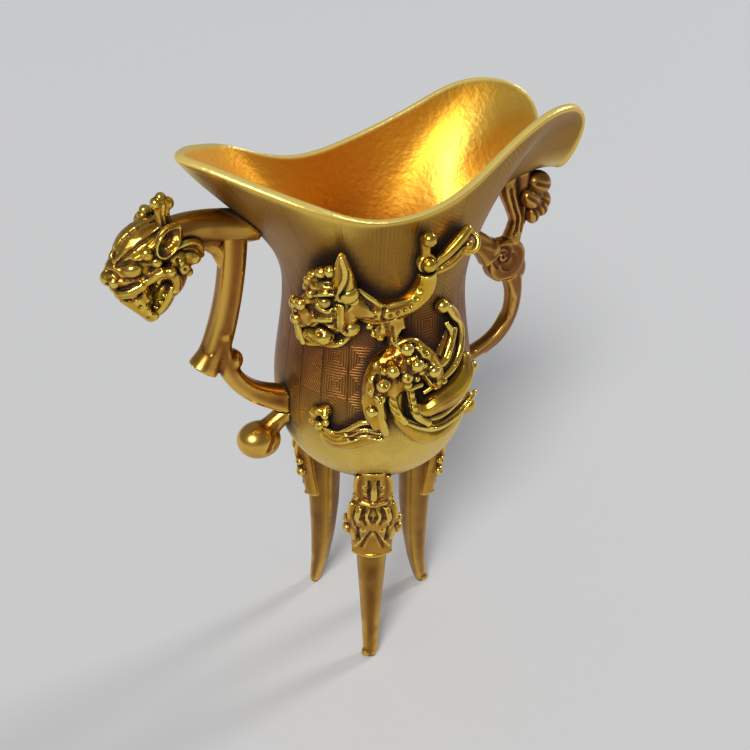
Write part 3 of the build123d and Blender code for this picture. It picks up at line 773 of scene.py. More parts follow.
class Carving:
    """A fused skin that is carved along strokes and then dressed."""

    reach_over_width: ClassVar[float] = 2.2
    gap_over_width: ClassVar[float] = 0.4

    def __init__(self, thing: bpy.types.Object, nodes: Sequence[str]) -> None:
        self.thing = thing
        self.nodes = list(nodes)

    @staticmethod
    def _trace(path: Sequence[Vector], gap: float) -> np.ndarray:
        """Points along a stroke, closer together than a gap."""
        points = [np.array(path[0])]
        for start, end in zip(path, path[1:]):
            count = max(int((end - start).length / gap), 1)
            points += [np.array(start.lerp(end, (k + 1) / count)) for k in range(count)]
        return np.array(points)

    @staticmethod
    def _laid(trace: np.ndarray, places: np.ndarray, farthest: float = 2.5 * MM) -> np.ndarray:
        """Move the points of a stroke to the nearest places on the skin."""
        reach = farthest * 1.2
        box = np.all((places > trace.min(0) - reach) & (places < trace.max(0) + reach), axis=1)
        close = places[box]
        if not len(close):
            return trace
        laid = []
        for point in trace:
            apart = ((close - point) ** 2).sum(1)
            nearest = int(apart.argmin())
            laid.append(close[nearest] if apart[nearest] < farthest**2 else point)
        return np.array(laid)

    def cut(self, strokes: Iterable[Sequence[Vector]], width: float, depth: float) -> "Carving":
        """Press grooves into the skin, or raise ridges where the depth is negative.

        Args:
            strokes: paths near the skin.
            width: half the groove's width, in millimetres.
            depth: the groove's depth, in millimetres.

        Returns:
            The same carving.
        """
        places, normals = Bench.vertices(self.thing), Bench.normals(self.thing)
        pressed = np.zeros(len(places))
        reach = self.reach_over_width * width * MM
        for stroke in strokes:
            trace = self._laid(self._trace(list(stroke), width * MM * self.gap_over_width), places)
            low, high = trace.min(0) - reach, trace.max(0) + reach
            near = np.where(np.all((places > low) & (places < high), axis=1))[0]
            if not len(near):
                continue
            apart = np.full(len(near), np.inf)
            for point in trace:
                apart = np.minimum(apart, ((places[near] - point) ** 2).sum(1))
            pressed[near] = np.maximum(pressed[near], np.exp(-apart / (width * MM) ** 2))
        Bench.move_vertices(self.thing, places - normals * (pressed * depth * MM)[:, None])
        return self

    def _mark_raised(self, rounds: int = 16) -> None:
        """Note how far each place stands above the softened skin, in tenths of a millimetre."""
        mesh = self.thing.data
        ends = np.empty(len(mesh.edges) * 2, dtype=np.int32)
        mesh.edges.foreach_get("vertices", ends)
        first, second = ends[::2], ends[1::2]
        places = Bench.vertices(self.thing)
        count = np.bincount(ends, minlength=len(places))[:, None]

        def averaged(values: np.ndarray, times: int) -> np.ndarray:
            """Each vertex's values averaged with its neighbours', several times."""
            for _ in range(times):
                total = values.copy()
                for axis in range(values.shape[1]):
                    total[:, axis] += np.bincount(first, values[second, axis], len(values))
                    total[:, axis] += np.bincount(second, values[first, axis], len(values))
                values = total / (count + 1)
            return values

        soft = averaged(places, rounds)
        raised = ((places - soft) * Bench.normals(self.thing)).sum(1) / (0.1 * MM)
        raised = averaged(raised[:, None], 2)[:, 0]
        layer = mesh.attributes.new("raised", "FLOAT", "POINT")
        layer.data.foreach_set("value", raised.astype(np.float32))

    def dress(self, finish: Finish, slot: str, soften: bool = True) -> bpy.types.Object:
        """Give the skin its material and hand it to the frame.

        Args:
            finish: what it looks like.
            slot: not used.
            soften: whether the carved edges are rounded a little first.

        Returns:
            The finished piece.
        """
        thing = self.thing
        if soften:
            Bench.apply(thing, "SMOOTH", factor=0.4, iterations=1)
        self._mark_raised()
        Bench.pick(thing)
        bpy.ops.object.shade_smooth()
        thing.data.materials.clear()
        thing.data.materials.append(MATERIALS[finish.name])
        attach(thing, "root")
        if self.nodes:
            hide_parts(*self.nodes)
        log.info("%s: %d faces", thing.name, len(thing.data.polygons))
        return thing


# --------------------------------------------------------------------------- pieces
@dataclass
class Cup:
    """The bowl with its flared mouth, one thin wall."""

    form: CupForm
    columns: int = 360
    outer_rows: int = 150
    inner_rows: int = 90
    lip_rows: int = 6
    pattern_columns: int = 24
    pattern_rows: float = 8.0
    inside_row: float = 20.0
    lip_rise: float = 1.985

    def build(self) -> bpy.types.Object:
        """Shape a grid into the whole skin, outside, lip and inside.

        Returns:
            The finished cup.
        """
        rows = self._rows()
        Bench.clear_selection()
        bpy.ops.mesh.primitive_grid_add(
            x_subdivisions=self.columns, y_subdivisions=len(rows) - 1, size=1.0)
        cup = bpy.context.object
        cup.name = cup.data.name = "cup"
        grid = Bench.vertices(cup)
        column = np.rint((grid[:, 0] + 0.5) * self.columns).astype(int)
        row = np.rint((grid[:, 1] + 0.5) * (len(rows) - 1)).astype(int)
        share = column * 2.0 / self.columns
        rise, depth = rows[row, 0], rows[row, 1]
        places = self.form.point(share, rise) - self.form.normal(share, rise) * depth[:, None]
        Bench.move_vertices(cup, places)
        self._map_skin(cup, share, places, rise, depth > 0)
        Bench.close(cup)
        return Carving(cup, ["cup_body"]).dress(CUP_SKIN, "cup_bronze", soften=False)

    def _rows(self) -> np.ndarray:
        """Rise and depth of each row of the grid, from the flat spot outside to inside."""
        wall = self.form.wall
        outer = np.linspace(0.0, self.lip_rise, self.outer_rows)
        inner = np.linspace(self.lip_rise, 0.0, self.inner_rows)
        bend = np.linspace(0, math.pi, self.lip_rows + 2)[1:-1]
        lip_rises = self.lip_rise + 0.015 * np.sin(bend)
        lip = np.stack([lip_rises, wall / 2 * (1 - np.cos(bend))], 1)
        return np.vstack([
            np.stack([outer, np.zeros_like(outer)], 1), lip,
            np.stack([inner, np.full_like(inner, wall)], 1),
        ])

    def _map_skin(self, cup: bpy.types.Object, share: np.ndarray, places: np.ndarray,
                  rise: np.ndarray, inside: np.ndarray) -> None:
        """Lay the engraving's map: whole numbers are its columns and rows."""
        form = self.form
        height = (places[:, 2] - form.bottom_height) / (form.neck_height - form.bottom_height)
        flare = np.maximum(rise - 1, 0) * self.pattern_rows / 2
        across = share / 2 * self.pattern_columns
        up = np.where(rise > 1, self.pattern_rows + flare, height * self.pattern_rows)
        up = np.where(inside, self.inside_row + up, up)
        layer = cup.data.uv_layers.new(name="skin")
        loops = np.empty(len(cup.data.loops), dtype=np.int64)
        cup.data.loops.foreach_get("vertex_index", loops)
        layer.data.foreach_set("uv", np.stack([across, up], 1)[loops].astype(np.float32).ravel())


# -------------------------------------------------------------------- spout handle
@dataclass
class SpoutHandle:
    """Strap, cut branch, arm and drop-shaped scroll under the spout."""

    voxel: float = 0.28

    def build(self) -> None:
        """Model the handle and its scroll."""
        handle = Clay("spout_handle").solid("spout_strap", "spout_stump", "spout_arm")
        handle.bead(at(-30.6, 0, 86.4), 2.3).bead(at(-29.2, 0, 80.5), 2.1)
        skin = handle.fuse(self.voxel, 6)
        skin.dress(HANDLE_SKIN, "handle_bronze")
        scroll = Clay("spout_scroll").solid("spout_scroll").fuse(self.voxel, 5)
        for side in (-1, 1):
            turn = [at(-22.4, side * 2.2, 64.6), at(-23.6, side * 3.2, 62.6), at(-25.0, side * 3.7, 60.4)]
            scroll.cut([turn], 0.35, 0.3)
        scroll.dress(HANDLE_SKIN, "handle_bronze")


# --------------------------------------------------------------------- dragon head
@dataclass
class DragonHead:
    """Carved dragon's head on the spout handle, mirrored about the cup's middle."""

    root: Spot = (-35.9, 0.0, 105.5)
    voxel: float = 0.16
    groove_width: float = 0.22
    groove_depth: float = 0.35

    def spot(self, across: float, side: float, up: float) -> Vector:
        """Place on the head, in millimetres from where the neck meets it."""
        return at(self.root[0] + across, side, self.root[2] + up)

    def path(self, *spots: Spot) -> list[Vector]:
        """Several places on the head."""
        return [self.spot(*place) for place in spots]

    def half(self, sign: int, *spots: Spot) -> list[Vector]:
        """The same path on the near side (-1) or the far side (1) of the head."""
        return self.path(*[(across, sign * side, up) for across, side, up in spots])

    def both(self, *spots: Spot) -> list[list[Vector]]:
        """The same path on both sides of the head."""
        return [self.half(sign, *spots) for sign in (1, -1)]

    def build(self) -> None:
        """Model the neck, the face, the jaw, the ears, the horns and the mane."""
        self._neck()
        self._face()
        self._jaw()
        self._eyes()
        self._ears()
        self._horns()
        self._mane()

    def _neck(self) -> None:
        """Smooth neck with a web where it meets the strap."""
        neck = Clay("dragon_neck").solid("dragon_neck")
        neck.bead(self.spot(11.0, 0, -0.8), 2.5)
        neck.strand(self.path((1.9, 0, -1.6), (5.4, 0, -2.6), (7.2, 0, -6.6)), (1.2, 1.6, 1.2))
        skin = neck.fuse(0.26, 6)
        skin.dress(HANDLE_SKIN, "handle_bronze")

    def _face(self) -> None:
        """Domed forehead with swept ridges, brow knobs, nose, lips, cheeks and open mouth."""
        face = Clay("dragon_face").stand_for("dragon_skull", "dragon_muzzle", "dragon_brows", "dragon_cheeks")
        face.egg(self.spot(1.6, 0, 0.9), self.spot(-10.4, 0, -1.2), 4.0)
        for sign in (1, -1):
            face.egg(self.spot(1.0, sign * 1.4, 0.9), self.spot(-10.2, sign * 1.0, -1.2), 2.7)
            face.strand(self.half(sign, (-8.9, 2.3, -6.4), (-7.7, 2.3, -9.0), (-6.2, 1.7, -11.4)),
                        (1.1, 1.1, 1.0))
            face.bead(self.spot(-1.6, sign * 2.9, -2.0), 1.7)
        face.egg(self.spot(-3.0, 0, -1.8), self.spot(-12.3, 0, -4.6), 3.3)
        face.egg(self.spot(-9.8, 0, -3.6), self.spot(-5.8, 0, -12.0), 2.3)
        face.egg(self.spot(-0.6, 0, -1.6), self.spot(-4.0, 0, -10.0), 3.0)
        face.egg(self.spot(-10.4, -1.7, -3.9), self.spot(-10.4, 1.7, -3.9), 1.4)
        face.bead(self.spot(-11.6, 0, -4.2), 1.35)
        face.strand(self.path((-10.2, 0, -0.9), (-8.8, 0, 0.5), (-6.4, 0, 1.9), (-3.0, 0, 3.3)),
                    (0.7, 0.9, 0.95, 0.9))
        for sign in (1, -1):
            face.strand(self.half(sign, (-10.2, 1.0, -1.4), (-8.6, 1.6, -0.1), (-6.2, 2.1, 1.2),
                                  (-3.4, 2.3, 2.7)), (0.7, 0.85, 0.9, 0.8))
            face.strand(self.half(sign, (-9.7, 2.0, -2.2), (-7.8, 2.8, -1.0), (-5.5, 3.3, 0.4),
                                  (-3.8, 3.5, 1.5)), (0.6, 0.75, 0.8, 0.7))
            face.egg(self.spot(-9.9, sign * 2.0, -3.0), self.spot(-7.2, sign * 3.4, -1.9), 1.25)
            face.bead(self.spot(-5.0, sign * 3.7, -1.6), 0.95)
            face.bead(self.spot(-11.2, sign * 1.5, -4.4), 0.95)
            face.strand(self.half(sign, (-10.6, 1.2, -6.6), (-9.3, 2.3, -6.1), (-7.6, 2.9, -5.2)),
                        (1.0, 1.15, 1.0))
            face.strand(self.half(sign, (-7.6, 2.9, -5.2), (-6.0, 3.4, -4.2), (-4.4, 3.8, -3.4),
                                  (-2.6, 3.8, -4.6), (-2.3, 3.0, -7.0)), (0.7, 0.8, 0.95, 0.95, 0.9))
            face.strand(self.half(sign, (-9.9, 1.2, -7.6), (-8.4, 1.6, -9.2), (-6.6, 1.5, -11.6)),
                        (1.05, 1.1, 1.0))
            face.strand(self.half(sign, (-7.6, 2.7, -6.2), (-7.4, 2.6, -8.0), (-7.0, 2.2, -9.8)),
                        (0.5, 0.6, 0.5))
            face.bead(self.spot(-3.2, sign * 4.4, -3.4), 0.85)
            face.bead(self.spot(-1.5, sign * 3.9, -2.4), 0.9)
        skin = face.fuse(self.voxel, 3)
        mouth = self.both((-6.2, 2.4, -9.6), (-5.2, 2.7, -8.2), (-4.1, 3.2, -6.6))
        skin.cut(mouth, 0.85, 1.6)
        creases = self.both((-10.6, 0.55, -0.4), (-8.8, 0.8, 1.3), (-6.2, 1.0, 2.9), (-3.2, 1.1, 4.4))
        creases += self.both((-10.2, 1.6, -1.4), (-8.4, 2.3, 0.2), (-6.0, 2.8, 1.7), (-3.6, 3.0, 2.9))
        creases += self.both((-10.4, 1.4, -2.0), (-8.6, 2.9, -1.1), (-6.8, 3.6, -1.2), (-5.6, 4.2, -2.4))
        creases += self.both((-10.6, 2.0, -3.6), (-9.0, 3.1, -3.9), (-6.8, 3.7, -3.5), (-5.0, 4.3, -2.8))
        creases += self.both((-11.4, 0.5, -2.9), (-10.6, 1.6, -3.0), (-10.4, 2.3, -3.7))
        creases += self.both((-11.2, 1.6, -5.6), (-9.8, 2.8, -5.2), (-8.2, 3.4, -4.4))
        creases += self.both((-10.2, 2.0, -7.4), (-8.8, 2.6, -7.2), (-7.9, 2.9, -6.4))
        creases += self.both((-8.2, 2.6, -8.4), (-7.6, 2.4, -9.8), (-7.0, 2.2, -11.0))
        creases += self.both((-2.0, 4.5, -1.6), (-2.0, 4.4, -3.2), (-1.5, 3.8, -5.2))
        skin.cut(creases, self.groove_width, self.groove_depth * 1.3)
        skin.cut(self.both((-12.4, 0.9, -5.0), (-12.2, 1.3, -4.8)), 0.3, 0.6)
        skin.cut(self.both((-6.2, 3.2, -10.0), (-5.2, 3.4, -8.9), (-4.2, 3.8, -7.4)), 0.3, -0.3)
        skin.dress(RELIEF_SKIN, "handle_bronze")

    def _jaw(self) -> None:
        """Lower jaw with its lip, its chin and a few teeth."""
        jaw = Clay("dragon_jaw").stand_for("dragon_jaw")
        jaw.egg(self.spot(-1.6, 0, -5.6), self.spot(-6.0, 0, -12.6), 2.0)
        jaw.egg(self.spot(-5.3, -1.5, -12.1), self.spot(-5.3, 1.5, -12.1), 1.2)
        for lip in self.both((-6.0, 1.4, -11.3), (-4.9, 2.0, -10.4), (-3.8, 2.5, -8.8), (-2.9, 2.9, -7.0)):
            jaw.strand(lip, (0.6, 0.65, 0.65, 0.6))
        for tooth in self.both((-5.8, 1.7, -10.1), (-4.9, 2.2, -9.2), (-4.3, 2.6, -8.0)):
            for place in tooth:
                jaw.bead(place, 0.36)
        skin = jaw.fuse(self.voxel, 2)
        skin.cut(self.both((-5.0, 1.6, -11.6), (-4.0, 2.2, -10.0), (-2.8, 2.7, -7.8)), 0.22, 0.3)
        skin.dress(RELIEF_SKIN, "handle_bronze")

    def _eyes(self) -> None:
        """Round eyes with a ring and a drilled pupil."""
        eyes = Clay("dragon_eyes").stand_for("dragon_eyes")
        for sign in (1, -1):
            eyes.bead(self.spot(-6.2, sign * 3.6, 0.0), 1.1)
        skin = eyes.fuse(0.12, 1)
        skin.cut(self.both((-6.8, 4.6, -0.1), (-6.7, 4.6, -0.1)), 0.25, 0.3)
        skin.dress(RELIEF_SKIN, "handle_bronze")

    def _ears(self) -> None:
        """Leaf-shaped ears with a deep hollow."""
        ears = Clay("dragon_ears").stand_for("dragon_ears")
        hollows = []
        for sign in (1, -1):
            tip, foot = self.spot(-1.0, sign * 4.3, 3.9), self.spot(-4.8, sign * 4.7, -0.2)
            ears.egg(tip, foot, 1.9, 0.55, Vector((0, sign, 0.2)))
            rim = [(-1.2, 4.9, 3.6), (-3.4, 5.2, 3.2), (-4.9, 5.4, 1.4), (-4.6, 5.3, -0.2),
                   (-2.9, 5.2, 0.0), (-1.6, 5.0, 1.6), (-1.2, 4.9, 3.6)]
            ears.strand(self.half(sign, *rim), [0.42] * len(rim))
            hollows.append(self.half(sign, (-2.4, 5.6, 2.6), (-3.8, 5.7, 0.9)))
        skin = ears.fuse(0.15, 2)
        skin.cut(hollows, 1.0, 1.4)
        skin.dress(RELIEF_SKIN, "handle_bronze")

    def _horns(self) -> None:
        """One long horn with a lobed tip on the near side, and a stub on the far side."""
        horns = Clay("dragon_horns").stand_for("dragon_horns")
        horns.strand(self.path((-2.2, -1.9, 2.2), (-2.7, -2.3, 4.8), (-2.6, -2.6, 6.8)), (1.35, 1.1, 1.2))
        for lobe, radius in (((-3.5, -2.6, 7.0), 0.95), ((-1.8, -2.6, 6.7), 1.0), ((-2.7, -2.6, 7.7), 0.85)):
            horns.bead(self.spot(*lobe), radius)
        horns.strand(self.path((-4.4, 2.0, 1.8), (-4.2, 2.4, 3.4)), (1.0, 1.05))
        horns.bead(self.spot(-3.9, 2.4, 4.2), 0.95)
        skin = horns.fuse(0.15, 2)
        flutes = [self.path((-2.6 + d, -3.3, 3.4), (-3.0 + d, -3.5, 5.4), (-2.8 + d, -3.6, 7.2))
                  for d in (-0.35, 0.55)]
        skin.cut(flutes, 0.2, 0.3)
        skin.dress(RELIEF_SKIN, "handle_bronze")

    def _mane(self) -> None:
        """A large curl and a small one behind each cheek, under a hooked lock."""
        mane = Clay("dragon_mane").stand_for("dragon_mane")
        rings = []
        for sign in (1, -1):
            mane.egg(self.spot(-1.6, sign * 2.6, -1.0), self.spot(2.5, sign * 2.2, -3.2), 1.8)
            mane.strand(self.half(sign, (-1.9, 3.9, -0.1), (0.3, 3.6, 0.3), (2.3, 2.8, -0.9),
                                  (2.5, 2.4, -2.7)), (0.45, 0.55, 0.6, 0.6))
            mane.bead(self.spot(1.0, sign * 3.2, -2.4), 1.25)
            mane.bead(self.spot(-0.9, sign * 3.1, -3.6), 1.35)
            mane.bead(self.spot(0.0, sign * 2.8, -4.9), 0.8)
            rings.append(self.half(sign, (-1.4, 3.9, -0.9), (0.1, 4.2, -0.6), (1.6, 4.0, -1.2),
                                   (2.0, 3.5, -2.4)))
            rings.append(self.half(sign, (-0.9, 4.4, -3.6), (-0.8, 4.4, -3.6)))
        skin = mane.fuse(0.16, 2)
        skin.cut(rings, 0.25, 0.5)
        skin.dress(RELIEF_SKIN, "handle_bronze")


# ----------------------------------------------------------------------------- legs
@dataclass(frozen=True)
class LegStation:
    """One level of a leg: all in millimetres, `out` from the cup's axis."""

    height: float
    out: float
    half_depth: float
    half_width: float


@dataclass
class Legs:
    """Three sabre legs, each with a beast mask over its upper part."""

    form: CupForm
    azimuths: tuple[tuple[str, float], ...] = (("front", -120.0), ("rear_left", 120.0), ("rear_right", 0.0))
    blade: tuple[LegStation, ...] = (
        LegStation(60.0, 12.4, 4.4, 3.7), LegStation(48.0, 12.2, 4.2, 3.6), LegStation(38.0, 12.0, 3.5, 3.4),
        LegStation(28.0, 12.0, 3.1, 3.1), LegStation(18.0, 12.6, 2.6, 2.5), LegStation(9.0, 13.6, 2.0, 2.0),
        LegStation(3.0, 14.7, 1.5, 1.7), LegStation(0.9, 15.1, 1.3, 1.6), LegStation(0.0, 15.2, 0.8, 1.1),
    )
    mask: tuple[LegStation, ...] = (
        LegStation(55.8, 14.4, 2.6, 2.6), LegStation(52.0, 14.8, 2.7, 3.0), LegStation(48.2, 14.9, 2.6, 2.9),
        LegStation(47.0, 15.0, 2.6, 4.3), LegStation(44.0, 14.9, 2.8, 4.7), LegStation(40.5, 14.2, 2.6, 4.8),
        LegStation(37.5, 13.6, 2.2, 4.4), LegStation(34.0, 13.2, 2.3, 4.3), LegStation(32.2, 13.1, 2.3, 4.2),
        LegStation(31.4, 13.0, 1.2, 2.6),
    )
    columns: int = 56
    rows: int = 120
    squareness: float = 3.0

    def build(self) -> None:
        """Model each leg and its mask."""
        for name, azimuth in self.azimuths:
            turn = math.radians(azimuth)
            leg = self._loft(f"leg_{name}", turn, self.blade, 0.9)
            toe = Clay(f"leg_{name}").stand_for(f"leg_{name}")
            toe.lumps.append(leg)
            toe.bead(self._place(turn, 15.6, -1.0, 1.25), 1.1)
            toe.fuse(0.26, 4).dress(LEG_SKIN, "leg_bronze")
            self._mask(name, turn)

    @staticmethod
    def _place(turn: float, out: float, across: float, height: float) -> Vector:
        """Place from its distance from the axis, sideways distance and height."""
        return at(out * math.cos(turn) - across * math.sin(turn),
                  out * math.sin(turn) + across * math.cos(turn), height)

    def _loft(self, name: str, turn: float, stations: Sequence[LegStation],
              rounding: float) -> bpy.types.Object:
        """Wrap a grid round the stations of a leg, and end it in the bowl's wall.

        Args:
            name: name of the new object.
            turn: direction of the leg, in radians.
            stations: its levels, from the top down.
            rounding: how far its levels are rounded together, in millimetres.

        Returns:
            The closed mesh.
        """
        Bench.clear_selection()
        bpy.ops.mesh.primitive_grid_add(x_subdivisions=self.columns, y_subdivisions=self.rows, size=1.0)
        thing = bpy.context.object
        thing.name = thing.data.name = name
        grid = Bench.vertices(thing)
        angle = (grid[:, 0] + 0.5) * 2 * math.pi
        levels = sorted(stations, key=lambda station: station.height)
        heights = np.array([level.height for level in levels])
        height = heights[0] + (grid[:, 1] + 0.5) * (heights[-1] - heights[0])

        def at_height(values: Sequence[float]) -> np.ndarray:
            """A station's measure at every vertex, rounded between the stations."""
            offsets = np.linspace(-rounding, rounding, 7)
            return np.mean([np.interp(height + offset, heights, values) for offset in offsets], axis=0)

        out = at_height([level.out for level in levels])
        half_depth = at_height([level.half_depth for level in levels])
        half_width = at_height([level.half_width for level in levels])
        power = 2 / self.squareness
        depth = np.sign(np.cos(angle)) * np.abs(np.cos(angle)) ** power * half_depth
        width = np.sign(np.sin(angle)) * np.abs(np.sin(angle)) ** power * half_width
        radial = (out + depth) * MM
        width = width * MM
        places = np.stack([radial * math.cos(turn) - width * math.sin(turn),
                           radial * math.sin(turn) + width * math.cos(turn), height * MM], 1)
        places[:, 2] = np.minimum(places[:, 2], self._inside_wall(np.hypot(places[:, 0], places[:, 1])))
        Bench.move_vertices(thing, places)
        Bench.close(thing)
        return thing

    def _inside_wall(self, radius: np.ndarray) -> np.ndarray:
        """Height of the middle of the bowl's wall over a place."""
        form = self.form
        half = form.wall / 2
        share = np.clip(radius / (form.belly_radius - half), 0, 0.999)
        depth = form.belly_height - form.bottom_height - half
        return form.belly_height - depth * (1 - share**form.bottom_fullness) ** (1 / form.bottom_fullness)

    def _mask(self, name: str, turn: float) -> None:
        """Model one mask: small upper face, ridged brow, eyes, side curls and collar."""
        def spot(out: float, across: float, height: float) -> Vector:
            """Place on this mask."""
            return self._place(turn, out, across, height)

        def trail(*places: Spot, side: int = 1) -> list[Vector]:
            """Path on this mask, mirrored where the side is -1."""
            return [spot(out, side * across, height) for out, across, height in places]

        mask = Clay(f"leg_mask_{name}").stand_for(f"leg_mask_{name}")
        mask.lumps.append(self._loft(f"leg_mask_{name}_base", turn, self.mask, 0.5))
        mask.strand(trail((16.9, 0.2, 54.0), (17.6, 0.1, 51.6), (17.5, 0, 49.6)), (0.5, 0.8, 0.9))
        mask.strand(trail((17.0, -1.7, 51.2), (17.5, 0, 51.0), (17.0, 1.7, 51.2)), (0.5, 0.5, 0.5))
        mask.strand(trail((17.0, -2.2, 48.6), (17.5, 0, 48.2), (17.0, 2.2, 48.6)), (0.6, 0.6, 0.6))
        for side in (-1, 1):
            mask.bead(spot(16.9, side * 1.5, 52.6), 0.75)
            mask.strand(trail((15.9, 2.9, 54.2), (15.9, 3.2, 52.0), (16.2, 2.8, 49.6), side=side),
                        (0.6, 0.8, 0.7))
            mask.strand(trail((17.2, 0.5, 47.4), (17.6, 1.3, 45.6), (17.1, 0.5, 43.4), side=side),
                        (0.5, 0.65, 0.5))
            mask.strand(trail((17.0, 2.4, 47.4), (17.4, 3.1, 45.0), (16.6, 2.2, 42.6), side=side),
                        (0.55, 0.7, 0.5))
            mask.strand(trail((15.6, 4.2, 47.0), (15.9, 4.5, 44.6), (15.6, 4.4, 42.4), side=side),
                        (0.55, 0.7, 0.6))
            mask.bead(spot(16.7, side * 1.9, 41.2), 0.85)
            mask.bead(spot(14.9, side * 5.1, 42.6), 1.0)
            mask.bead(spot(14.6, side * 5.1, 39.8), 1.15)
            mask.bead(spot(16.2, side * 3.3, 49.6), 0.9)
            mask.strand(trail((15.7, 3.6, 42.4), (15.6, 4.0, 39.6), (15.1, 3.7, 37.6), side=side),
                        (0.5, 0.8, 0.75))
            mask.strand(trail((15.6, 1.0, 40.0), (15.6, 2.2, 37.4), (15.1, 3.4, 35.0), side=side),
                        (0.4, 0.5, 0.45))
        mask.strand(trail((14.4, -3.8, 32.6), (15.3, 0, 32.2), (14.4, 3.8, 32.6)), (0.5, 0.6, 0.5))
        skin = mask.fuse(0.19, 2)
        drills = [(17.5, 1.9, 41.2), (15.2, 6.0, 42.6), (14.9, 6.2, 39.8), (17.6, 1.5, 52.6),
                  (16.9, 4.1, 49.6)]
        strokes = []
        for out, across, height in drills:
            for side in (-1, 1):
                place = spot(out, side * across, height)
                strokes.append([place, place + Vector((0, 0, 0.05 * MM))])
        skin.cut(strokes, 0.4, 0.75)
        seams = []
        for side in (-1, 1):
            seams += [
                trail((17.4, 0.9, 54.0), (17.8, 0.9, 50.0), side=side),
                trail((17.4, 0.2, 47.6), (18.0, 0.6, 45.8), (17.6, 0.1, 43.0), side=side),
                trail((17.4, 1.7, 47.4), (18.0, 2.2, 45.0), (17.2, 1.4, 42.6), side=side),
                trail((16.6, 3.6, 47.2), (16.8, 3.9, 44.8), (16.4, 3.4, 42.2), side=side),
                trail((16.6, 3.0, 42.0), (16.4, 3.0, 39.6), (15.8, 2.8, 37.4), side=side),
                trail((16.4, 0.3, 40.4), (16.0, 1.4, 37.4), (15.6, 2.4, 34.4), side=side),
            ]
        seams.append(trail((17.4, -3.2, 47.9), (18.2, 0, 47.6), (17.4, 3.2, 47.9)))
        seams.append(trail((17.4, -1.9, 49.8), (18.2, 0, 49.6), (17.4, 1.9, 49.8)))
        skin.cut(seams, 0.22, 0.5)
        skin.dress(MASK_SKIN, "leg_bronze")


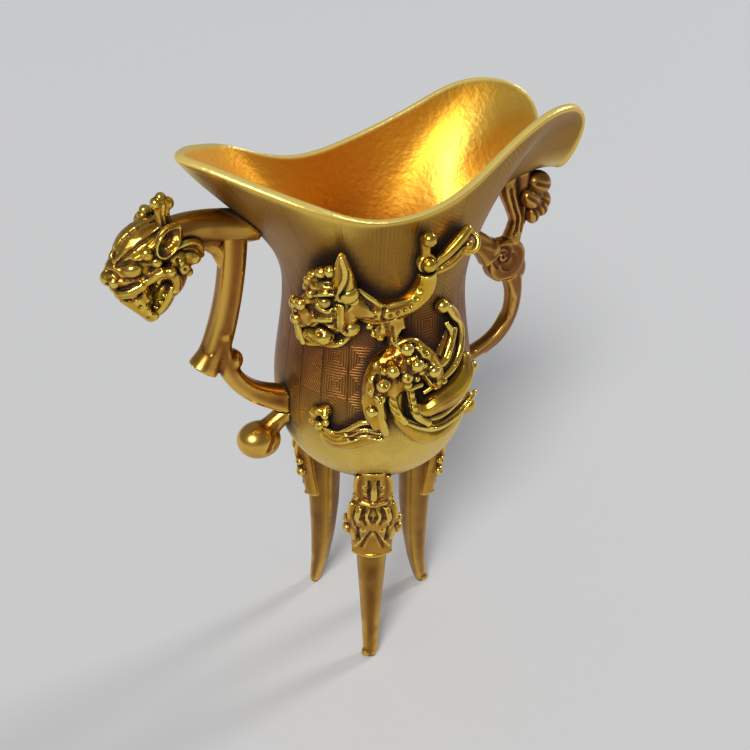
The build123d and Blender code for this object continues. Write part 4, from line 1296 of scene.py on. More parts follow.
# --------------------------------------------------------------------- tail handle
@dataclass
class TailHandle:
    """Link, scrolled disc and strap under the tail, with a flower on its stem."""

    disc_ends: tuple[Spot, Spot] = ((27.2, 0.0, 89.8), (36.9, 0.0, 79.6))
    disc_radius: float = 3.6
    hollow: Spot = (29.6, 1.9, 86.7)
    flower: Spot = (36.2, -0.4, 97.5)
    facing: Spot = (0.72, -0.55, 0.25)
    petals: tuple[tuple[Spot, Spot, float], ...] = (
        ((34.4, -1.2, 101.6), (40.2, -0.6, 99.4), 1.8), ((32.8, -1.6, 99.6), (36.6, -2.0, 96.4), 1.5),
        ((36.8, -1.2, 98.4), (40.4, -0.6, 95.2), 1.6), ((37.2, -1.6, 97.4), (39.2, -1.2, 93.6), 1.35),
        ((35.4, -1.6, 96.4), (36.8, -1.4, 92.4), 1.35), ((35.0, 1.6, 101.2), (39.4, 1.8, 99.2), 1.7),
        ((37.0, 1.6, 98.2), (39.6, 1.8, 94.4), 1.6), ((34.0, 1.4, 99.2), (36.0, 1.4, 94.6), 1.5),
    )

    def build(self) -> None:
        """Model the handle's pieces and the flower."""
        self._disc()
        link = Clay("tail_link").solid("tail_link")
        link.strand([at(18.6, 0, 91.2), at(23.0, 0, 90.6), at(27.4, 0, 88.4)], (1.9, 1.9, 2.2))
        link.fuse(0.24, 4).dress(TAIL_SKIN, "handle_bronze")
        strap = Clay("tail_strap").solid("tail_strap")
        strap.strand([at(35.2, 0, 80.4), at(35.8, 0, 75.6), at(35.0, 0, 70.4), at(32.2, 0, 66.4),
                      at(28.6, 0, 64.4)], (1.3, 1.25, 1.25, 1.25, 1.2))
        skin = strap.fuse(0.22, 4)
        edges = [[at(32.7, side * 1.5, 79.5), at(34.6, side * 1.5, 75.6), at(34.2, side * 1.5, 72.0),
                  at(30.8, side * 1.5, 68.4), at(25.5, side * 1.5, 65.6)] for side in (-1, 1)]
        skin.cut(edges, 0.3, -0.25)
        skin.dress(TAIL_SKIN, "handle_bronze")
        self._stem()
        self._flower()

    def _disc(self) -> None:
        """Long disc with a spiral hollow on both faces."""
        start, end = (at(*place) for place in self.disc_ends)
        clay = Clay("tail_disc").solid("tail_disc")
        clay.egg(start, end, self.disc_radius, 0.46, Vector((0, 1, 0)))
        x, depth, z = self.hollow
        for side in (-1, 1):
            clay.bead(at(x, side * 0.2, z), 2.1)
        skin = clay.fuse(0.2, 3)
        spirals = []
        for side in (-1, 1):
            spirals.append([
                at(x + (0.9 + 0.9 * turn) * math.cos(2 * math.pi * turn), side * depth,
                   z + (0.9 + 0.9 * turn) * math.sin(2 * math.pi * turn))
                for turn in np.arange(0, 1.75, 0.08)])
        skin.cut(spirals, 0.28, 0.4)
        skin.cut([[at(x, side * depth, z), at(x + 0.1, side * depth, z)] for side in (-1, 1)], 0.7, 0.8)
        edge = [[at(30.5, side * 1.7, 80.6), at(33.4, side * 1.8, 79.4), at(36.6, side * 1.6, 78.6)]
                for side in (-1, 1)]
        skin.cut(edge, 0.3, 0.4)
        skin.dress(TAIL_SKIN, "handle_bronze")

    @staticmethod
    def _stem() -> None:
        """Thick stem with two deep folds, from the disc up to the flare."""
        stem = Clay("flower_stem").solid("flower_stem")
        stem.strand([at(33.0, 0, 89.0), at(33.4, 0, 92.8), at(31.9, 0, 96.6), at(30.2, 0, 100.2),
                     at(29.6, 0, 102.4)], (1.7, 1.5, 1.6, 1.9, 2.1))
        stem.strand([at(34.4, 0, 92.6), at(35.2, 0, 95.4), at(35.0, 0, 98.0)], (1.2, 1.4, 1.6))
        skin = stem.fuse(0.22, 3)
        folds = []
        for side in (-1, 1):
            folds.append([at(32.2, side * 1.9, 91.0), at(32.6, side * 1.9, 94.0), at(31.0, side * 2.0, 97.4),
                          at(29.6, side * 2.3, 100.6)])
            folds.append([at(33.8, side * 1.8, 91.4), at(34.0, side * 1.9, 94.2), at(33.2, side * 2.0, 97.0)])
        skin.cut(folds, 0.3, 0.5)
        skin.dress(TAIL_SKIN, "handle_bronze")

    def _flower(self) -> None:
        """Flower of long veined petals round a drilled bud."""
        middle, facing = at(*self.flower), Vector(self.facing).normalized()
        petals = Clay("flower_petals").stand_for("flower_petals")
        petals.bead(middle, 2.6)
        veins = []
        for start, end, radius in self.petals:
            near, far = at(*start), at(*end)
            petals.egg(near, far, radius * 1.35, 0.85, facing)
            lift = Vector((0, radius * 1.25 * MM, 0)) * math.copysign(1, start[1])
            veins.append([near.lerp(far, 0.15) + lift, near.lerp(far, 0.5) + lift,
                          near.lerp(far, 0.9) + lift])
        skin = petals.fuse(0.18, 3)
        skin.cut(veins, 0.3, 0.45)
        skin.dress(TAIL_SKIN, "handle_bronze")
        bud = Clay("flower_bud").stand_for("flower_bud")
        bud.egg(middle - facing * 1.0 * MM, middle + facing * 2.4 * MM, 1.15)
        skin = bud.fuse(0.15, 1)
        skin.cut([[middle + facing * 2.4 * MM, middle + facing * 2.5 * MM]], 0.45, 0.6)
        skin.dress(TAIL_SKIN, "handle_bronze")


# --------------------------------------------------------------------- relief dragon
@dataclass
class ReliefDragon:
    """Dragon in high relief on the near side, with its leaf, its crescent and its plume.

    Places are a share of the rim, a rise on the skin, and a height over it in millimetres.
    """

    form: CupForm
    voxel: float = 0.19
    groove: float = 0.24

    def spot(self, share: float, rise: float, lift: float) -> Vector:
        """Place over the cup's skin."""
        return self.form.on_skin(share, rise, lift)

    def path(self, *spots: Spot) -> list[Vector]:
        """Several places over the skin."""
        return [self.spot(*place) for place in spots]

    def drills(self, raise_by: float, *spots: Spot) -> list[list[Vector]]:
        """Very short strokes above places, for drilled pupils and rings."""
        strokes = []
        for share, rise, lift in spots:
            place = self.spot(share, rise, lift + raise_by)
            strokes.append([place, place + Vector((0.05 * MM, 0, 0.05 * MM))])
        return strokes

    def build(self) -> None:
        """Model every part of the relief."""
        self._face()
        self._crest()
        self._jaw()
        self._eye()
        self._neck()
        self._foreleg()
        self._body()
        self._hind_leg()
        self._ribbon()
        self._crescent()
        self._flames()
        self._plume()
        self._leaf()
        self._pearls()

    def _face(self) -> None:
        """Domed head with its curls, brow, lids, nose with its knobs, lip and cheek folds."""
        face = Clay("relief_face").solid("relief_muzzle", "relief_nose_knobs")
        face.stand_for("relief_skull", "relief_brow")
        face.egg(self.spot(0.146, 1.18, 1.9), self.spot(0.276, 1.20, 1.5), 3.3)
        face.egg(self.spot(0.180, 1.04, 2.0), self.spot(0.266, 1.07, 1.5), 2.8)
        face.egg(self.spot(0.162, 1.32, 1.8), self.spot(0.258, 1.44, 1.9), 2.7)
        for curl in ((0.160, 1.29, 2.4), (0.174, 1.38, 2.5), (0.192, 1.46, 2.6), (0.212, 1.52, 2.7),
                     (0.231, 1.57, 2.8)):
            face.bead(self.spot(*curl), 1.0)
        face.egg(self.spot(0.252, 1.27, 2.4), self.spot(0.260, 1.00, 2.2), 1.9)
        face.egg(self.spot(0.096, 0.96, 0.9), self.spot(0.264, 0.98, 0.9), 2.2)
        face.egg(self.spot(0.100, 1.06, 1.2), self.spot(0.190, 1.12, 2.0), 2.2)
        face.egg(self.spot(0.184, 1.38, 3.6), self.spot(0.242, 1.46, 3.8), 1.35)
        face.strand(self.path((0.197, 1.36, 4.6), (0.214, 1.42, 5.0), (0.236, 1.44, 4.7)), (0.4, 0.5, 0.45))
        face.strand(self.path((0.197, 1.26, 4.7), (0.216, 1.22, 5.0), (0.237, 1.27, 4.8)), (0.4, 0.45, 0.4))
        for place, radius in (((0.129, 1.13, 3.4), 0.95), ((0.162, 1.22, 3.6), 0.95),
                              ((0.148, 1.09, 3.8), 1.0), ((0.175, 1.29, 3.6), 0.8),
                              ((0.111, 0.98, 3.0), 0.8), ((0.072, 1.03, 1.9), 0.75),
                              ((0.076, 0.96, 1.9), 0.75), ((0.130, 0.97, 3.3), 0.8),
                              ((0.096, 1.08, 2.6), 0.8)):
            face.bead(self.spot(*place), radius)
        face.strand(self.path((0.062, 1.06, 1.6), (0.070, 0.96, 1.6), (0.090, 0.88, 1.6)), (0.5, 0.6, 0.6))
        face.strand(self.path((0.100, 1.02, 2.8), (0.108, 0.93, 2.8), (0.118, 0.87, 2.2)), (0.5, 0.6, 0.6))
        face.strand(self.path((0.145, 0.98, 3.6), (0.172, 1.05, 4.3), (0.201, 1.09, 4.5), (0.224, 1.11, 4.4)),
                    (0.55, 0.7, 0.7, 0.6))
        for share in (0.238, 0.247):
            face.strand(self.path((share, 1.27, 4.1), (share + 0.001, 1.12, 4.4), (share - 0.003, 0.99, 3.4)),
                        (0.5, 0.65, 0.6))
        skin = face.fuse(self.voxel, 2)
        creases = [
            self.path((0.085, 1.14, 3.0), (0.100, 1.00, 3.4), (0.106, 0.90, 2.8)),
            self.path((0.150, 1.20, 4.0), (0.172, 1.16, 4.6), (0.184, 1.13, 4.8)),
            self.path((0.184, 1.36, 4.4), (0.206, 1.405, 4.9), (0.246, 1.46, 4.6)),
            self.path((0.140, 0.95, 3.6), (0.176, 1.01, 4.2), (0.222, 1.05, 4.6)),
            self.path((0.232, 1.28, 5.0), (0.233, 1.14, 5.0), (0.230, 1.0, 4.2)),
            self.path((0.176, 1.43, 3.6), (0.205, 1.49, 3.9), (0.244, 1.52, 3.8)),
            self.path((0.138, 1.14, 4.0), (0.138, 1.04, 4.0), (0.122, 0.95, 3.2)),
        ]
        skin.cut(creases, self.groove, 0.55)
        skin.cut(self.drills(1.0, (0.147, 1.20, 3.6), (0.111, 0.98, 3.0), (0.068, 0.97, 2.0)), 0.35, 0.45)
        skin.dress(RELIEF_SKIN, "relief_bronze")

    def _crest(self) -> None:
        """Pointed ear with its ridge, and the back of the head."""
        crest = Clay("relief_crest").solid("relief_crest")
        crest.strand(self.path((0.237, 1.34, 3.8), (0.250, 1.50, 4.3), (0.258, 1.64, 4.2),
                               (0.254, 1.77, 3.4)), (0.6, 0.6, 0.5, 0.35))
        crest.bead(self.spot(0.262, 1.42, 3.6), 1.15)
        crest.bead(self.spot(0.272, 1.30, 3.0), 1.0)
        skin = crest.fuse(self.voxel, 2)
        skin.cut([self.path((0.246, 1.36, 4.2), (0.258, 1.50, 4.2), (0.264, 1.62, 3.6))], 0.3, 0.5)
        skin.cut(self.drills(1.1, (0.262, 1.42, 3.6)), 0.4, 0.4)
        skin.dress(RELIEF_SKIN, "relief_bronze")

    def _jaw(self) -> None:
        """Lower jaw with a ring, and the curls behind it."""
        jaw = Clay("relief_jaw").solid("relief_jaw", "relief_curls")
        jaw.strand(self.path((0.085, 0.87, 1.4), (0.130, 0.87, 1.8), (0.166, 0.885, 1.8), (0.227, 0.90, 1.8),
                             (0.264, 0.95, 1.4)), (0.5, 0.6, 0.6, 0.6, 0.5))
        jaw.bead(self.spot(0.183, 0.95, 2.9), 1.05)
        jaw.bead(self.spot(0.253, 0.985, 2.6), 1.25)
        jaw.bead(self.spot(0.270, 1.02, 1.9), 0.9)
        skin = jaw.fuse(self.voxel, 2)
        skin.cut(self.drills(1.1, (0.183, 0.95, 2.9), (0.253, 0.985, 2.6)), 0.45, 0.55)
        skin.cut([self.path((0.130, 0.91, 2.4), (0.150, 0.90, 2.8)),
                  self.path((0.204, 0.93, 2.8), (0.226, 0.94, 2.8), (0.240, 0.92, 2.2))], self.groove, 0.5)
        skin.dress(RELIEF_SKIN, "relief_bronze")

    def _eye(self) -> None:
        """Bulging drilled eye."""
        eye = Clay("relief_eye").stand_for("relief_eye")
        eye.bead(self.spot(0.217, 1.33, 4.9), 1.05)
        skin = eye.fuse(0.13, 1)
        skin.cut(self.drills(1.05, (0.214, 1.32, 4.9)), 0.25, 0.35)
        skin.dress(RELIEF_SKIN, "relief_bronze")

    def _neck(self) -> None:
        """Leaf-shaped collar and a flat band that bends up to the pearl."""
        neck = Clay("relief_neck").solid("relief_neck")
        neck.strand(self.path((0.284, 1.37, 2.0), (0.312, 1.30, 2.3), (0.344, 1.21, 2.2), (0.370, 1.22, 2.1),
                              (0.394, 1.24, 2.1), (0.417, 1.31, 2.1), (0.423, 1.42, 1.9)),
                    (0.4, 0.5, 0.5, 0.5, 0.5, 0.45, 0.4))
        neck.strand(self.path((0.284, 1.06, 1.8), (0.318, 1.035, 1.9), (0.351, 1.045, 2.0),
                              (0.380, 1.07, 2.0), (0.404, 1.13, 2.0), (0.420, 1.20, 1.9)),
                    (0.4, 0.5, 0.5, 0.5, 0.45, 0.4))
        neck.strand(self.path((0.284, 1.30, 2.0), (0.282, 1.18, 2.2), (0.285, 1.08, 2.0)), (0.45, 0.5, 0.45))
        skin = neck.fuse(self.voxel, 2)
        skin.cut([self.path((0.344, 1.20, 2.6), (0.340, 1.12, 2.6), (0.348, 1.06, 2.4))], 0.25, 0.5)
        skin.cut([self.path((0.300, 1.26, 2.4), (0.322, 1.18, 2.6)),
                  self.path((0.302, 1.14, 2.4), (0.316, 1.12, 2.5))], 0.22, 0.3)
        dots = [(0.357, 1.13, 2.6), (0.372, 1.15, 2.6), (0.386, 1.17, 2.6), (0.399, 1.20, 2.5),
                (0.409, 1.26, 2.4), (0.414, 1.33, 2.3), (0.324, 1.13, 2.5), (0.310, 1.20, 2.5)]
        skin.cut(self.drills(0, *dots), 0.28, 0.4)
        skin.dress(RELIEF_SKIN, "relief_bronze")

    def _foreleg(self) -> None:
        """Raised foreleg and paw."""
        leg = Clay("relief_foreleg").solid("relief_foreleg", "relief_paw")
        for place in ((0.312, 0.99, 1.5), (0.325, 0.955, 1.5), (0.340, 0.94, 1.5)):
            leg.bead(self.spot(*place), 0.75)
        leg.strand(self.path((0.345, 0.995, 1.6), (0.362, 0.975, 1.9), (0.372, 0.93, 2.2),
                             (0.381, 0.90, 2.4)), (0.6, 0.75, 0.8, 0.8))
        skin = leg.fuse(self.voxel, 2)
        skin.cut([self.path((0.352, 1.0, 2.6), (0.356, 0.95, 2.6)),
                  self.path((0.362, 0.99, 2.8), (0.368, 0.93, 3.0)),
                  self.path((0.330, 0.99, 2.2), (0.332, 0.95, 2.2))], self.groove, 0.4)
        skin.dress(RELIEF_SKIN, "relief_bronze")

    def _body(self) -> None:
        """Twisted body and chest, covered with knobs."""
        body = Clay("relief_body").solid("relief_scale_knobs")
        body.stand_for("relief_torso", "relief_chest")
        body.strand(self.path((0.382, 0.89, 1.0), (0.405, 0.87, 1.6), (0.430, 0.82, 1.7), (0.452, 0.76, 1.4),
                              (0.466, 0.70, 0.9)), (1.9, 2.6, 2.7, 2.3, 1.5))
        body.strand(self.path((0.366, 0.86, 1.1), (0.346, 0.82, 1.6), (0.332, 0.76, 1.6), (0.327, 0.68, 1.3),
                              (0.334, 0.60, 0.8)), (1.9, 2.4, 2.5, 2.3, 1.8))
        body.egg(self.spot(0.382, 0.92, 1.4), self.spot(0.388, 0.70, 1.2), 2.9)
        body.egg(self.spot(0.352, 0.84, 1.8), self.spot(0.370, 0.68, 1.5), 2.3)
        body.egg(self.spot(0.396, 0.88, 1.8), self.spot(0.436, 0.77, 1.8), 2.4)
        knobs = [
            (0.392, 0.91, 3.4, 0.95), (0.397, 0.86, 4.0, 1.0), (0.403, 0.82, 3.8, 0.9),
            (0.436, 0.81, 3.8, 0.85), (0.445, 0.78, 3.2, 0.8), (0.389, 0.79, 3.8, 1.15),
            (0.391, 0.755, 3.4, 0.9), (0.455, 0.73, 2.8, 0.8), (0.360, 0.845, 3.4, 0.8),
            (0.348, 0.82, 3.6, 0.9), (0.346, 0.77, 3.8, 1.25), (0.322, 0.78, 2.9, 0.9),
            (0.338, 0.70, 3.0, 1.05), (0.320, 0.62, 2.2, 0.8), (0.319, 0.73, 2.8, 0.85),
            (0.420, 0.86, 3.0, 0.7), (0.418, 0.80, 3.4, 0.8), (0.372, 0.84, 3.6, 0.7),
            (0.362, 0.80, 3.6, 0.75), (0.445, 0.84, 2.6, 0.7), (0.463, 0.77, 2.5, 0.65),
            (0.412, 0.90, 3.6, 0.75), (0.428, 0.86, 3.4, 0.75), (0.402, 0.87, 4.4, 0.6),
            (0.440, 0.81, 3.6, 0.65), (0.452, 0.76, 3.2, 0.7), (0.470, 0.72, 2.6, 0.7),
            (0.421, 0.83, 4.2, 0.6), (0.330, 0.84, 2.8, 0.7), (0.318, 0.68, 2.6, 0.7),
            (0.410, 0.77, 3.2, 0.65),
        ]
        for share, rise, lift, radius in knobs:
            body.bead(self.spot(share, rise, lift + 0.3), radius)
        for inner in (0.012, 0.026):
            body.strand(self.path((0.384, 0.91 - inner, 3.8), (0.402, 0.92 - inner * 1.5, 4.0),
                                  (0.430 - inner * 0.6, 0.87 - inner, 4.0),
                                  (0.456 - inner, 0.80 - inner, 3.6), (0.468 - inner, 0.73, 3.0)),
                        (0.4, 0.5, 0.5, 0.5, 0.45))
        body.strand(self.path((0.375, 0.915, 2.6), (0.400, 0.93, 2.8), (0.432, 0.88, 2.8), (0.462, 0.80, 2.4),
                              (0.476, 0.73, 2.0)), (0.5, 0.6, 0.6, 0.6, 0.5))
        body.strand(self.path((0.366, 0.87, 3.0), (0.338, 0.845, 2.6), (0.318, 0.80, 2.4), (0.306, 0.74, 2.2),
                              (0.303, 0.66, 2.0)), (0.5, 0.55, 0.6, 0.6, 0.5))
        body.strand(self.path((0.372, 0.79, 3.4), (0.392, 0.735, 3.2), (0.420, 0.735, 3.0)), (0.45, 0.6, 0.5))
        skin = body.fuse(self.voxel, 2)
        rings = self.drills(1.0, (0.391, 0.865, 3.8), (0.346, 0.77, 4.0), (0.389, 0.79, 4.0),
                            (0.338, 0.70, 3.0))
        skin.cut(rings, 0.35, 0.4)
        seams = [
            self.path((0.376, 0.89, 4.4), (0.372, 0.83, 4.4), (0.374, 0.77, 4.2)),
            self.path((0.404, 0.90, 4.2), (0.412, 0.85, 4.2), (0.430, 0.835, 3.8)),
            self.path((0.424, 0.78, 4.0), (0.440, 0.75, 3.4), (0.462, 0.70, 2.8)),
            self.path((0.332, 0.80, 3.8), (0.330, 0.75, 3.8), (0.326, 0.70, 3.6), (0.328, 0.64, 3.2)),
        ]
        skin.cut(seams, 0.3, 0.6)
        scales = []
        for step in range(7):
            share, rise = 0.398 + 0.011 * step, 0.915 - 0.024 * step
            scales.append(self.path((share, rise, 3.6), (share + 0.004, rise - 0.03, 3.8),
                                    (share - 0.008, rise - 0.05, 3.8)))
            share, rise = 0.345 - 0.0065 * step, 0.835 - 0.034 * step
            scales.append(self.path((share, rise, 3.2), (share + 0.012, rise - 0.01, 3.8),
                                    (share + 0.014, rise - 0.04, 3.8)))
        skin.cut(scales, 0.22, 0.3)
        skin.dress(RELIEF_SKIN, "relief_bronze")

    def _hind_leg(self) -> None:
        """Two limbs that run down the bowl from the body."""
        leg = Clay("relief_hind_leg").solid("relief_hind_leg")
        leg.strand(self.path((0.335, 0.70, 3.0), (0.338, 0.64, 2.8), (0.345, 0.58, 2.4), (0.352, 0.54, 1.8)),
                   (1.0, 1.0, 0.9, 0.8))
        leg.strand(self.path((0.368, 0.77, 3.0), (0.364, 0.70, 2.6), (0.371, 0.64, 2.4), (0.390, 0.585, 2.2)),
                   (0.75, 0.85, 0.85, 0.8))
        leg.strand(self.path((0.400, 0.73, 2.4), (0.406, 0.66, 2.2), (0.414, 0.60, 2.3), (0.437, 0.555, 2.4)),
                   (0.75, 0.8, 0.8, 0.7))
        skin = leg.fuse(self.voxel, 2)
        ribs = [self.path((0.356, rise, 3.4), (0.376, rise - 0.02, 3.6))
                for rise in (0.74, 0.71, 0.68, 0.65, 0.62)]
        ribs += [self.path((0.398, rise, 3.0), (0.418, rise, 3.2)) for rise in (0.71, 0.68, 0.65, 0.62)]
        skin.cut(ribs, 0.2, 0.25)
        skin.cut([self.path((0.352, 0.76, 3.4), (0.351, 0.68, 3.0), (0.358, 0.60, 2.6)),
                  self.path((0.386, 0.74, 3.2), (0.388, 0.66, 2.6), (0.398, 0.60, 2.4))], 0.3, 0.5)
        skin.dress(RELIEF_SKIN, "relief_bronze")

    def _ribbon(self) -> None:
        """Ribbed ribbon that sweeps under the crescent."""
        ribbon = Clay("relief_ribbon").solid("relief_ribbon")
        ribbon.strand(self.path((0.380, 0.60, 1.9), (0.421, 0.545, 2.0), (0.457, 0.515, 2.0),
                                (0.500, 0.52, 2.0), (0.550, 0.53, 1.8), (0.631, 0.52, 1.5)),
                      (0.6, 0.7, 0.7, 0.7, 0.65, 0.5))
        skin = ribbon.fuse(self.voxel, 2)
        skin.cut([self.path((0.400, 0.59, 3.0), (0.430, 0.56, 3.0), (0.470, 0.54, 3.0), (0.510, 0.545, 3.0),
                            (0.560, 0.55, 2.6), (0.62, 0.54, 2.2))], 0.22, 0.35)
        skin.dress(RELIEF_SKIN, "relief_bronze")

    def _crescent(self) -> None:
        """Broad smooth crescent between two thin lips."""
        crescent = Clay("relief_crescent").stand_for("relief_crescent")
        crescent.strand(self.path((0.408, 0.640, 1.4), (0.429, 0.611, 1.6), (0.458, 0.624, 1.8),
                                  (0.491, 0.636, 1.8), (0.524, 0.654, 1.8), (0.556, 0.69, 1.6),
                                  (0.574, 0.735, 1.2)), (0.8, 1.4, 1.9, 2.2, 2.2, 1.9, 1.1))
        crescent.strand(self.path((0.438, 0.675, 1.0), (0.468, 0.700, 1.4), (0.502, 0.725, 1.5),
                                  (0.538, 0.765, 1.4), (0.560, 0.81, 1.0)), (0.45, 0.6, 0.65, 0.6, 0.45))
        crescent.strand(self.path((0.430, 0.560, 1.2), (0.466, 0.553, 1.5), (0.507, 0.573, 1.6),
                                  (0.550, 0.605, 1.6), (0.588, 0.655, 1.3), (0.602, 0.715, 0.8)),
                        (0.45, 0.65, 0.7, 0.7, 0.6, 0.45))
        skin = crescent.fuse(self.voxel, 5)
        skin.dress(RELIEF_SKIN, "relief_bronze")

    def _flames(self) -> None:
        """Two hooked flames behind the body, and small knobs beside them."""
        for name, points, radii in (
            ("relief_back_flame", ((0.450, 0.79, 2.2), (0.476, 0.79, 2.3), (0.497, 0.835, 2.1),
                                   (0.512, 0.885, 1.8), (0.500, 0.935, 1.5)), (0.75, 0.8, 0.8, 0.7, 0.5)),
            ("relief_side_flame", ((0.474, 0.715, 1.9), (0.504, 0.74, 2.0), (0.532, 0.78, 1.9),
                                   (0.551, 0.84, 1.7), (0.552, 0.90, 1.5), (0.526, 0.95, 1.4),
                                   (0.505, 1.0, 1.3)), (0.6, 0.7, 0.7, 0.7, 0.65, 0.6, 0.5)),
        ):
            flame = Clay(name).solid(name).strand(self.path(*points), radii)
            skin = flame.fuse(self.voxel, 2)
            groove = [(share + 0.004, rise + 0.018, lift + 0.8) for share, rise, lift in points[1:-1]]
            skin.cut([self.path(*groove)], 0.2, 0.3)
            skin.dress(RELIEF_SKIN, "relief_bronze")
        knobs = Clay("relief_side_knobs").solid("relief_side_knobs").fuse(0.17, 2)
        knobs.dress(RELIEF_SKIN, "relief_bronze")

    def _plume(self) -> None:
        """Low plume with flower-like curls at the bottom of the bowl."""
        plume = Clay("relief_plume").solid("relief_plume_low", "relief_plume_curls")
        for low, high in ((0.50, 0.58), (0.485, 0.545), (0.475, 0.515)):
            plume.strand(self.path((0.345, high - 0.01, 1.7), (0.302, high, 1.6),
                                   (0.262, (low + high) / 2, 1.5), (0.225, low + 0.01, 1.4),
                                   (0.195, low + 0.015, 1.2)), (0.5, 0.55, 0.55, 0.5, 0.45))
        for place, radius in (((0.156, 0.54, 1.3), 0.75), ((0.177, 0.59, 1.3), 0.85),
                              ((0.195, 0.58, 1.4), 0.8), ((0.180, 0.53, 1.4), 0.9),
                              ((0.198, 0.55, 1.4), 0.75), ((0.160, 0.575, 1.2), 0.6)):
            plume.bead(self.spot(*place), radius)
        skin = plume.fuse(self.voxel, 2)
        skin.cut([self.path((0.34, 0.545, 2.4), (0.30, 0.54, 2.4), (0.26, 0.525, 2.2), (0.22, 0.51, 2.0)),
                  self.path((0.34, 0.52, 2.2), (0.30, 0.51, 2.2), (0.25, 0.50, 2.0))], self.groove, 0.5)
        skin.cut(self.drills(0.9, (0.177, 0.59, 1.3), (0.180, 0.53, 1.4), (0.156, 0.54, 1.3)), 0.3, 0.4)
        skin.dress(RELIEF_SKIN, "relief_bronze")

    @staticmethod
    def _ring(middle: Vector, right: Vector, up: Vector, radius: float, points: int = 13) -> list[Vector]:
        """Closed ring round a place, its radius in millimetres."""
        return [middle + (right * math.cos(turn) + up * math.sin(turn)) * radius * MM
                for turn in np.linspace(0, 2 * math.pi, points)]

    def _leaf(self) -> None:
        """Rolled leaf whose open end curls round a small ball."""
        leaf = Clay("rolled_leaf").stand_for("rolled_leaf")
        leaf.strand(self.path((0.440, 1.44, 0.6), (0.470, 1.50, 0.9), (0.505, 1.58, 0.9)), (0.9, 1.5, 1.6))
        leaf.strand(self.path((0.443, 1.50, 1.3), (0.462, 1.59, 1.9), (0.482, 1.68, 2.2), (0.492, 1.72, 2.2)),
                    (0.7, 0.9, 0.95, 0.85))
        leaf.strand(self.path((0.444, 1.42, 1.2), (0.474, 1.45, 1.8), (0.498, 1.50, 2.1)), (0.6, 0.65, 0.5))
        middle = self.spot(0.508, 1.575, 2.1)
        right, up = Vector((0.86, -0.51, 0)), Vector((0.28, 0.47, 0.83))
        ring = self._ring(middle, right, up, 1.7)
        leaf.strand(ring, [0.45] * len(ring))
        leaf.bead(middle - up * 0.4 * MM, 1.0)
        skin = leaf.fuse(0.14, 3)
        skin.cut([self.path((0.452, 1.47, 2.0), (0.474, 1.53, 2.4), (0.490, 1.60, 2.6))], 0.28, 0.5)
        skin.dress(RELIEF_SKIN, "relief_bronze")

    def _pearls(self) -> None:
        """Two polished pearls: one in a ring, one on a post that leans on the flare."""
        seats = Clay("pearl_seats").stand_for("pearl_seats")
        seats.egg(self.spot(0.424, 1.54, -0.4), self.spot(0.424, 1.54, 1.3), 1.5)
        seats.strand(self.path((0.424, 1.54, 0.6), (0.419, 1.64, 0.9), (0.412, 1.78, 0.9)), (1.0, 0.85, 0.8))
        middle, normal = self.spot(0.424, 1.54, 1.3), Vector(self.form.normal(0.424, 1.54))
        side = normal.cross(Vector((0, 0, 1))).normalized()
        up = side.cross(normal)
        ring = self._ring(middle, side, up, 1.35)
        seats.strand(ring, [0.36] * len(ring))
        seats.fuse(0.15, 2).dress(RELIEF_SKIN, "relief_bronze")
        pearls = Clay("pearls").solid("pearls").fuse(0.13, 3)
        pearls.dress(RELIEF_SKIN, "relief_bronze")


# --------------------------------------------------------------------------- studio
@dataclass(frozen=True)
class Lamp:
    """Far soft lamp that looks at the cup, its apparent width in degrees."""

    name: str
    place: Spot
    width: float
    power: float

    def build(self) -> None:
        """Add the lamp to the scene."""
        data = bpy.data.lights.new(self.name, "SUN")
        data.angle = math.radians(self.width)
        data.energy = self.power
        lamp = bpy.data.objects.new(self.name, data)
        bpy.context.scene.collection.objects.link(lamp)
        lamp.location = self.place
        toward = Vector((0, 0, 0.07)) - Vector(self.place)
        lamp.rotation_euler = toward.to_track_quat("-Z", "Y").to_euler()


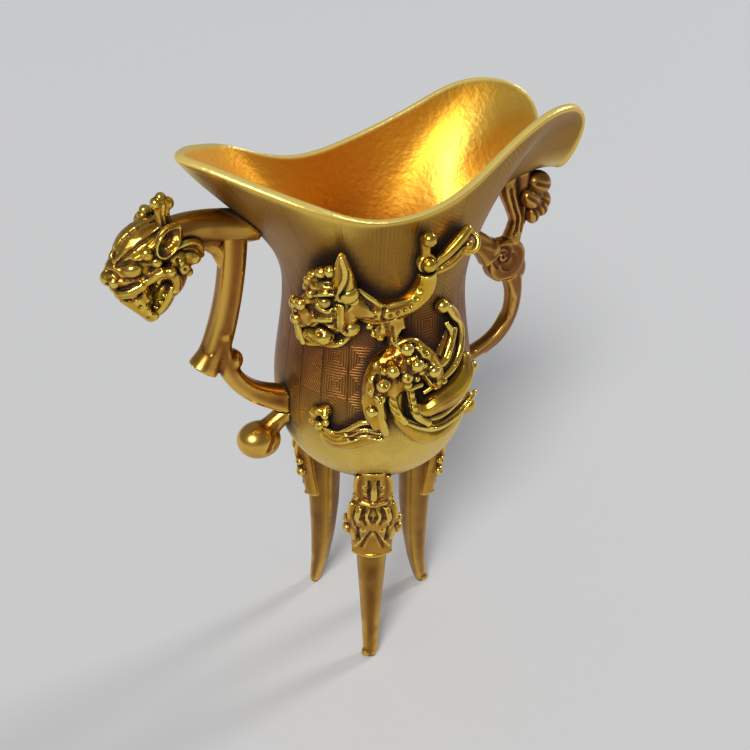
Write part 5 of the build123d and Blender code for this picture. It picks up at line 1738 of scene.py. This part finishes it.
@dataclass
class Studio:
    """Pale floor, soft light and the camera of the photograph."""

    camera_back: float = 135.03 * MM
    camera_height: float = 158.138 * MM
    camera_side: float = -3.674 * MM
    tilt: float = math.radians(33.963)
    turn: float = math.radians(30.65)
    lens: float = 39.05
    shift: float = 0.0287
    lamps: tuple[Lamp, ...] = (
        Lamp("key", (-0.30, -0.26, 0.42), 24.0, 2.4), Lamp("rim", (0.40, 0.02, 0.30), 12.0, 0.8),
    )

    def build(self) -> None:
        """Set the camera, the floor, the lamps and the world."""
        self._camera()
        self._floor()
        self._world()
        for lamp in self.lamps:
            lamp.build()
        bpy.context.scene.view_settings.view_transform = "Standard"

    def _camera(self) -> None:
        """Place the camera at the photograph's viewing angle."""
        data = bpy.data.cameras.new("photo_camera")
        data.sensor_width = 36
        data.lens = self.lens
        data.shift_x = self.shift
        data.clip_start = 0.005
        camera = bpy.data.objects.new("photo_camera", data)
        bpy.context.scene.collection.objects.link(camera)
        place = Vector((self.camera_side, -self.camera_back, self.camera_height))
        camera.location = Matrix.Rotation(-self.turn, 3, "Z") @ place
        camera.rotation_euler = (math.pi / 2 - self.tilt, 0, -self.turn)
        bpy.context.scene.camera = camera

    @staticmethod
    def _floor() -> None:
        """Wide pale floor."""
        Bench.clear_selection()
        bpy.ops.mesh.primitive_plane_add(size=6)
        floor = bpy.context.object
        floor.name = "floor"
        material = bpy.data.materials.new("pale_floor")
        material.use_nodes = True
        shader = material.node_tree.nodes["Principled BSDF"]
        shader.inputs["Base Color"].default_value = (0.70, 0.70, 0.70, 1)
        shader.inputs["Roughness"].default_value = 0.8
        floor.data.materials.append(material)

    @staticmethod
    def _world() -> None:
        """Dim even light from all round."""
        world = bpy.data.worlds.new("studio")
        world.use_nodes = True
        background = world.node_tree.nodes["Background"]
        background.inputs["Color"].default_value = (0.78, 0.80, 0.84, 1)
        background.inputs["Strength"].default_value = 0.28
        bpy.context.scene.world = world


def dress_solids() -> None:
    """Give the CAD nodes that still show their finish."""
    finishes = {"leg": LEG_SKIN, "relief": RELIEF_SKIN, "rolled": RELIEF_SKIN, "pearl": RELIEF_SKIN}
    for name, node in FRAME["nodes"].items():
        finish = finishes.get(name.split("_")[0], HANDLE_SKIN)
        node.data.materials.clear()
        node.data.materials.append(MATERIALS[finish.name])


def main() -> None:
    """Build every sub-assembly in order."""
    logging.basicConfig(level=logging.INFO, format="%(message)s")
    FRAME.update(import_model())
    for finish in (CUP_SKIN, HANDLE_SKIN, TAIL_SKIN, MASK_SKIN, RELIEF_SKIN, LEG_SKIN):
        MATERIALS[finish.name] = finish.material()
    dress_solids()
    form = CupForm()
    Clay.lean_on(form)
    Cup(form).build()
    SpoutHandle().build()
    DragonHead().build()
    Legs(form).build()
    TailHandle().build()
    ReliefDragon(form).build()
    Studio().build()


if __name__ == "__main__":
    main()
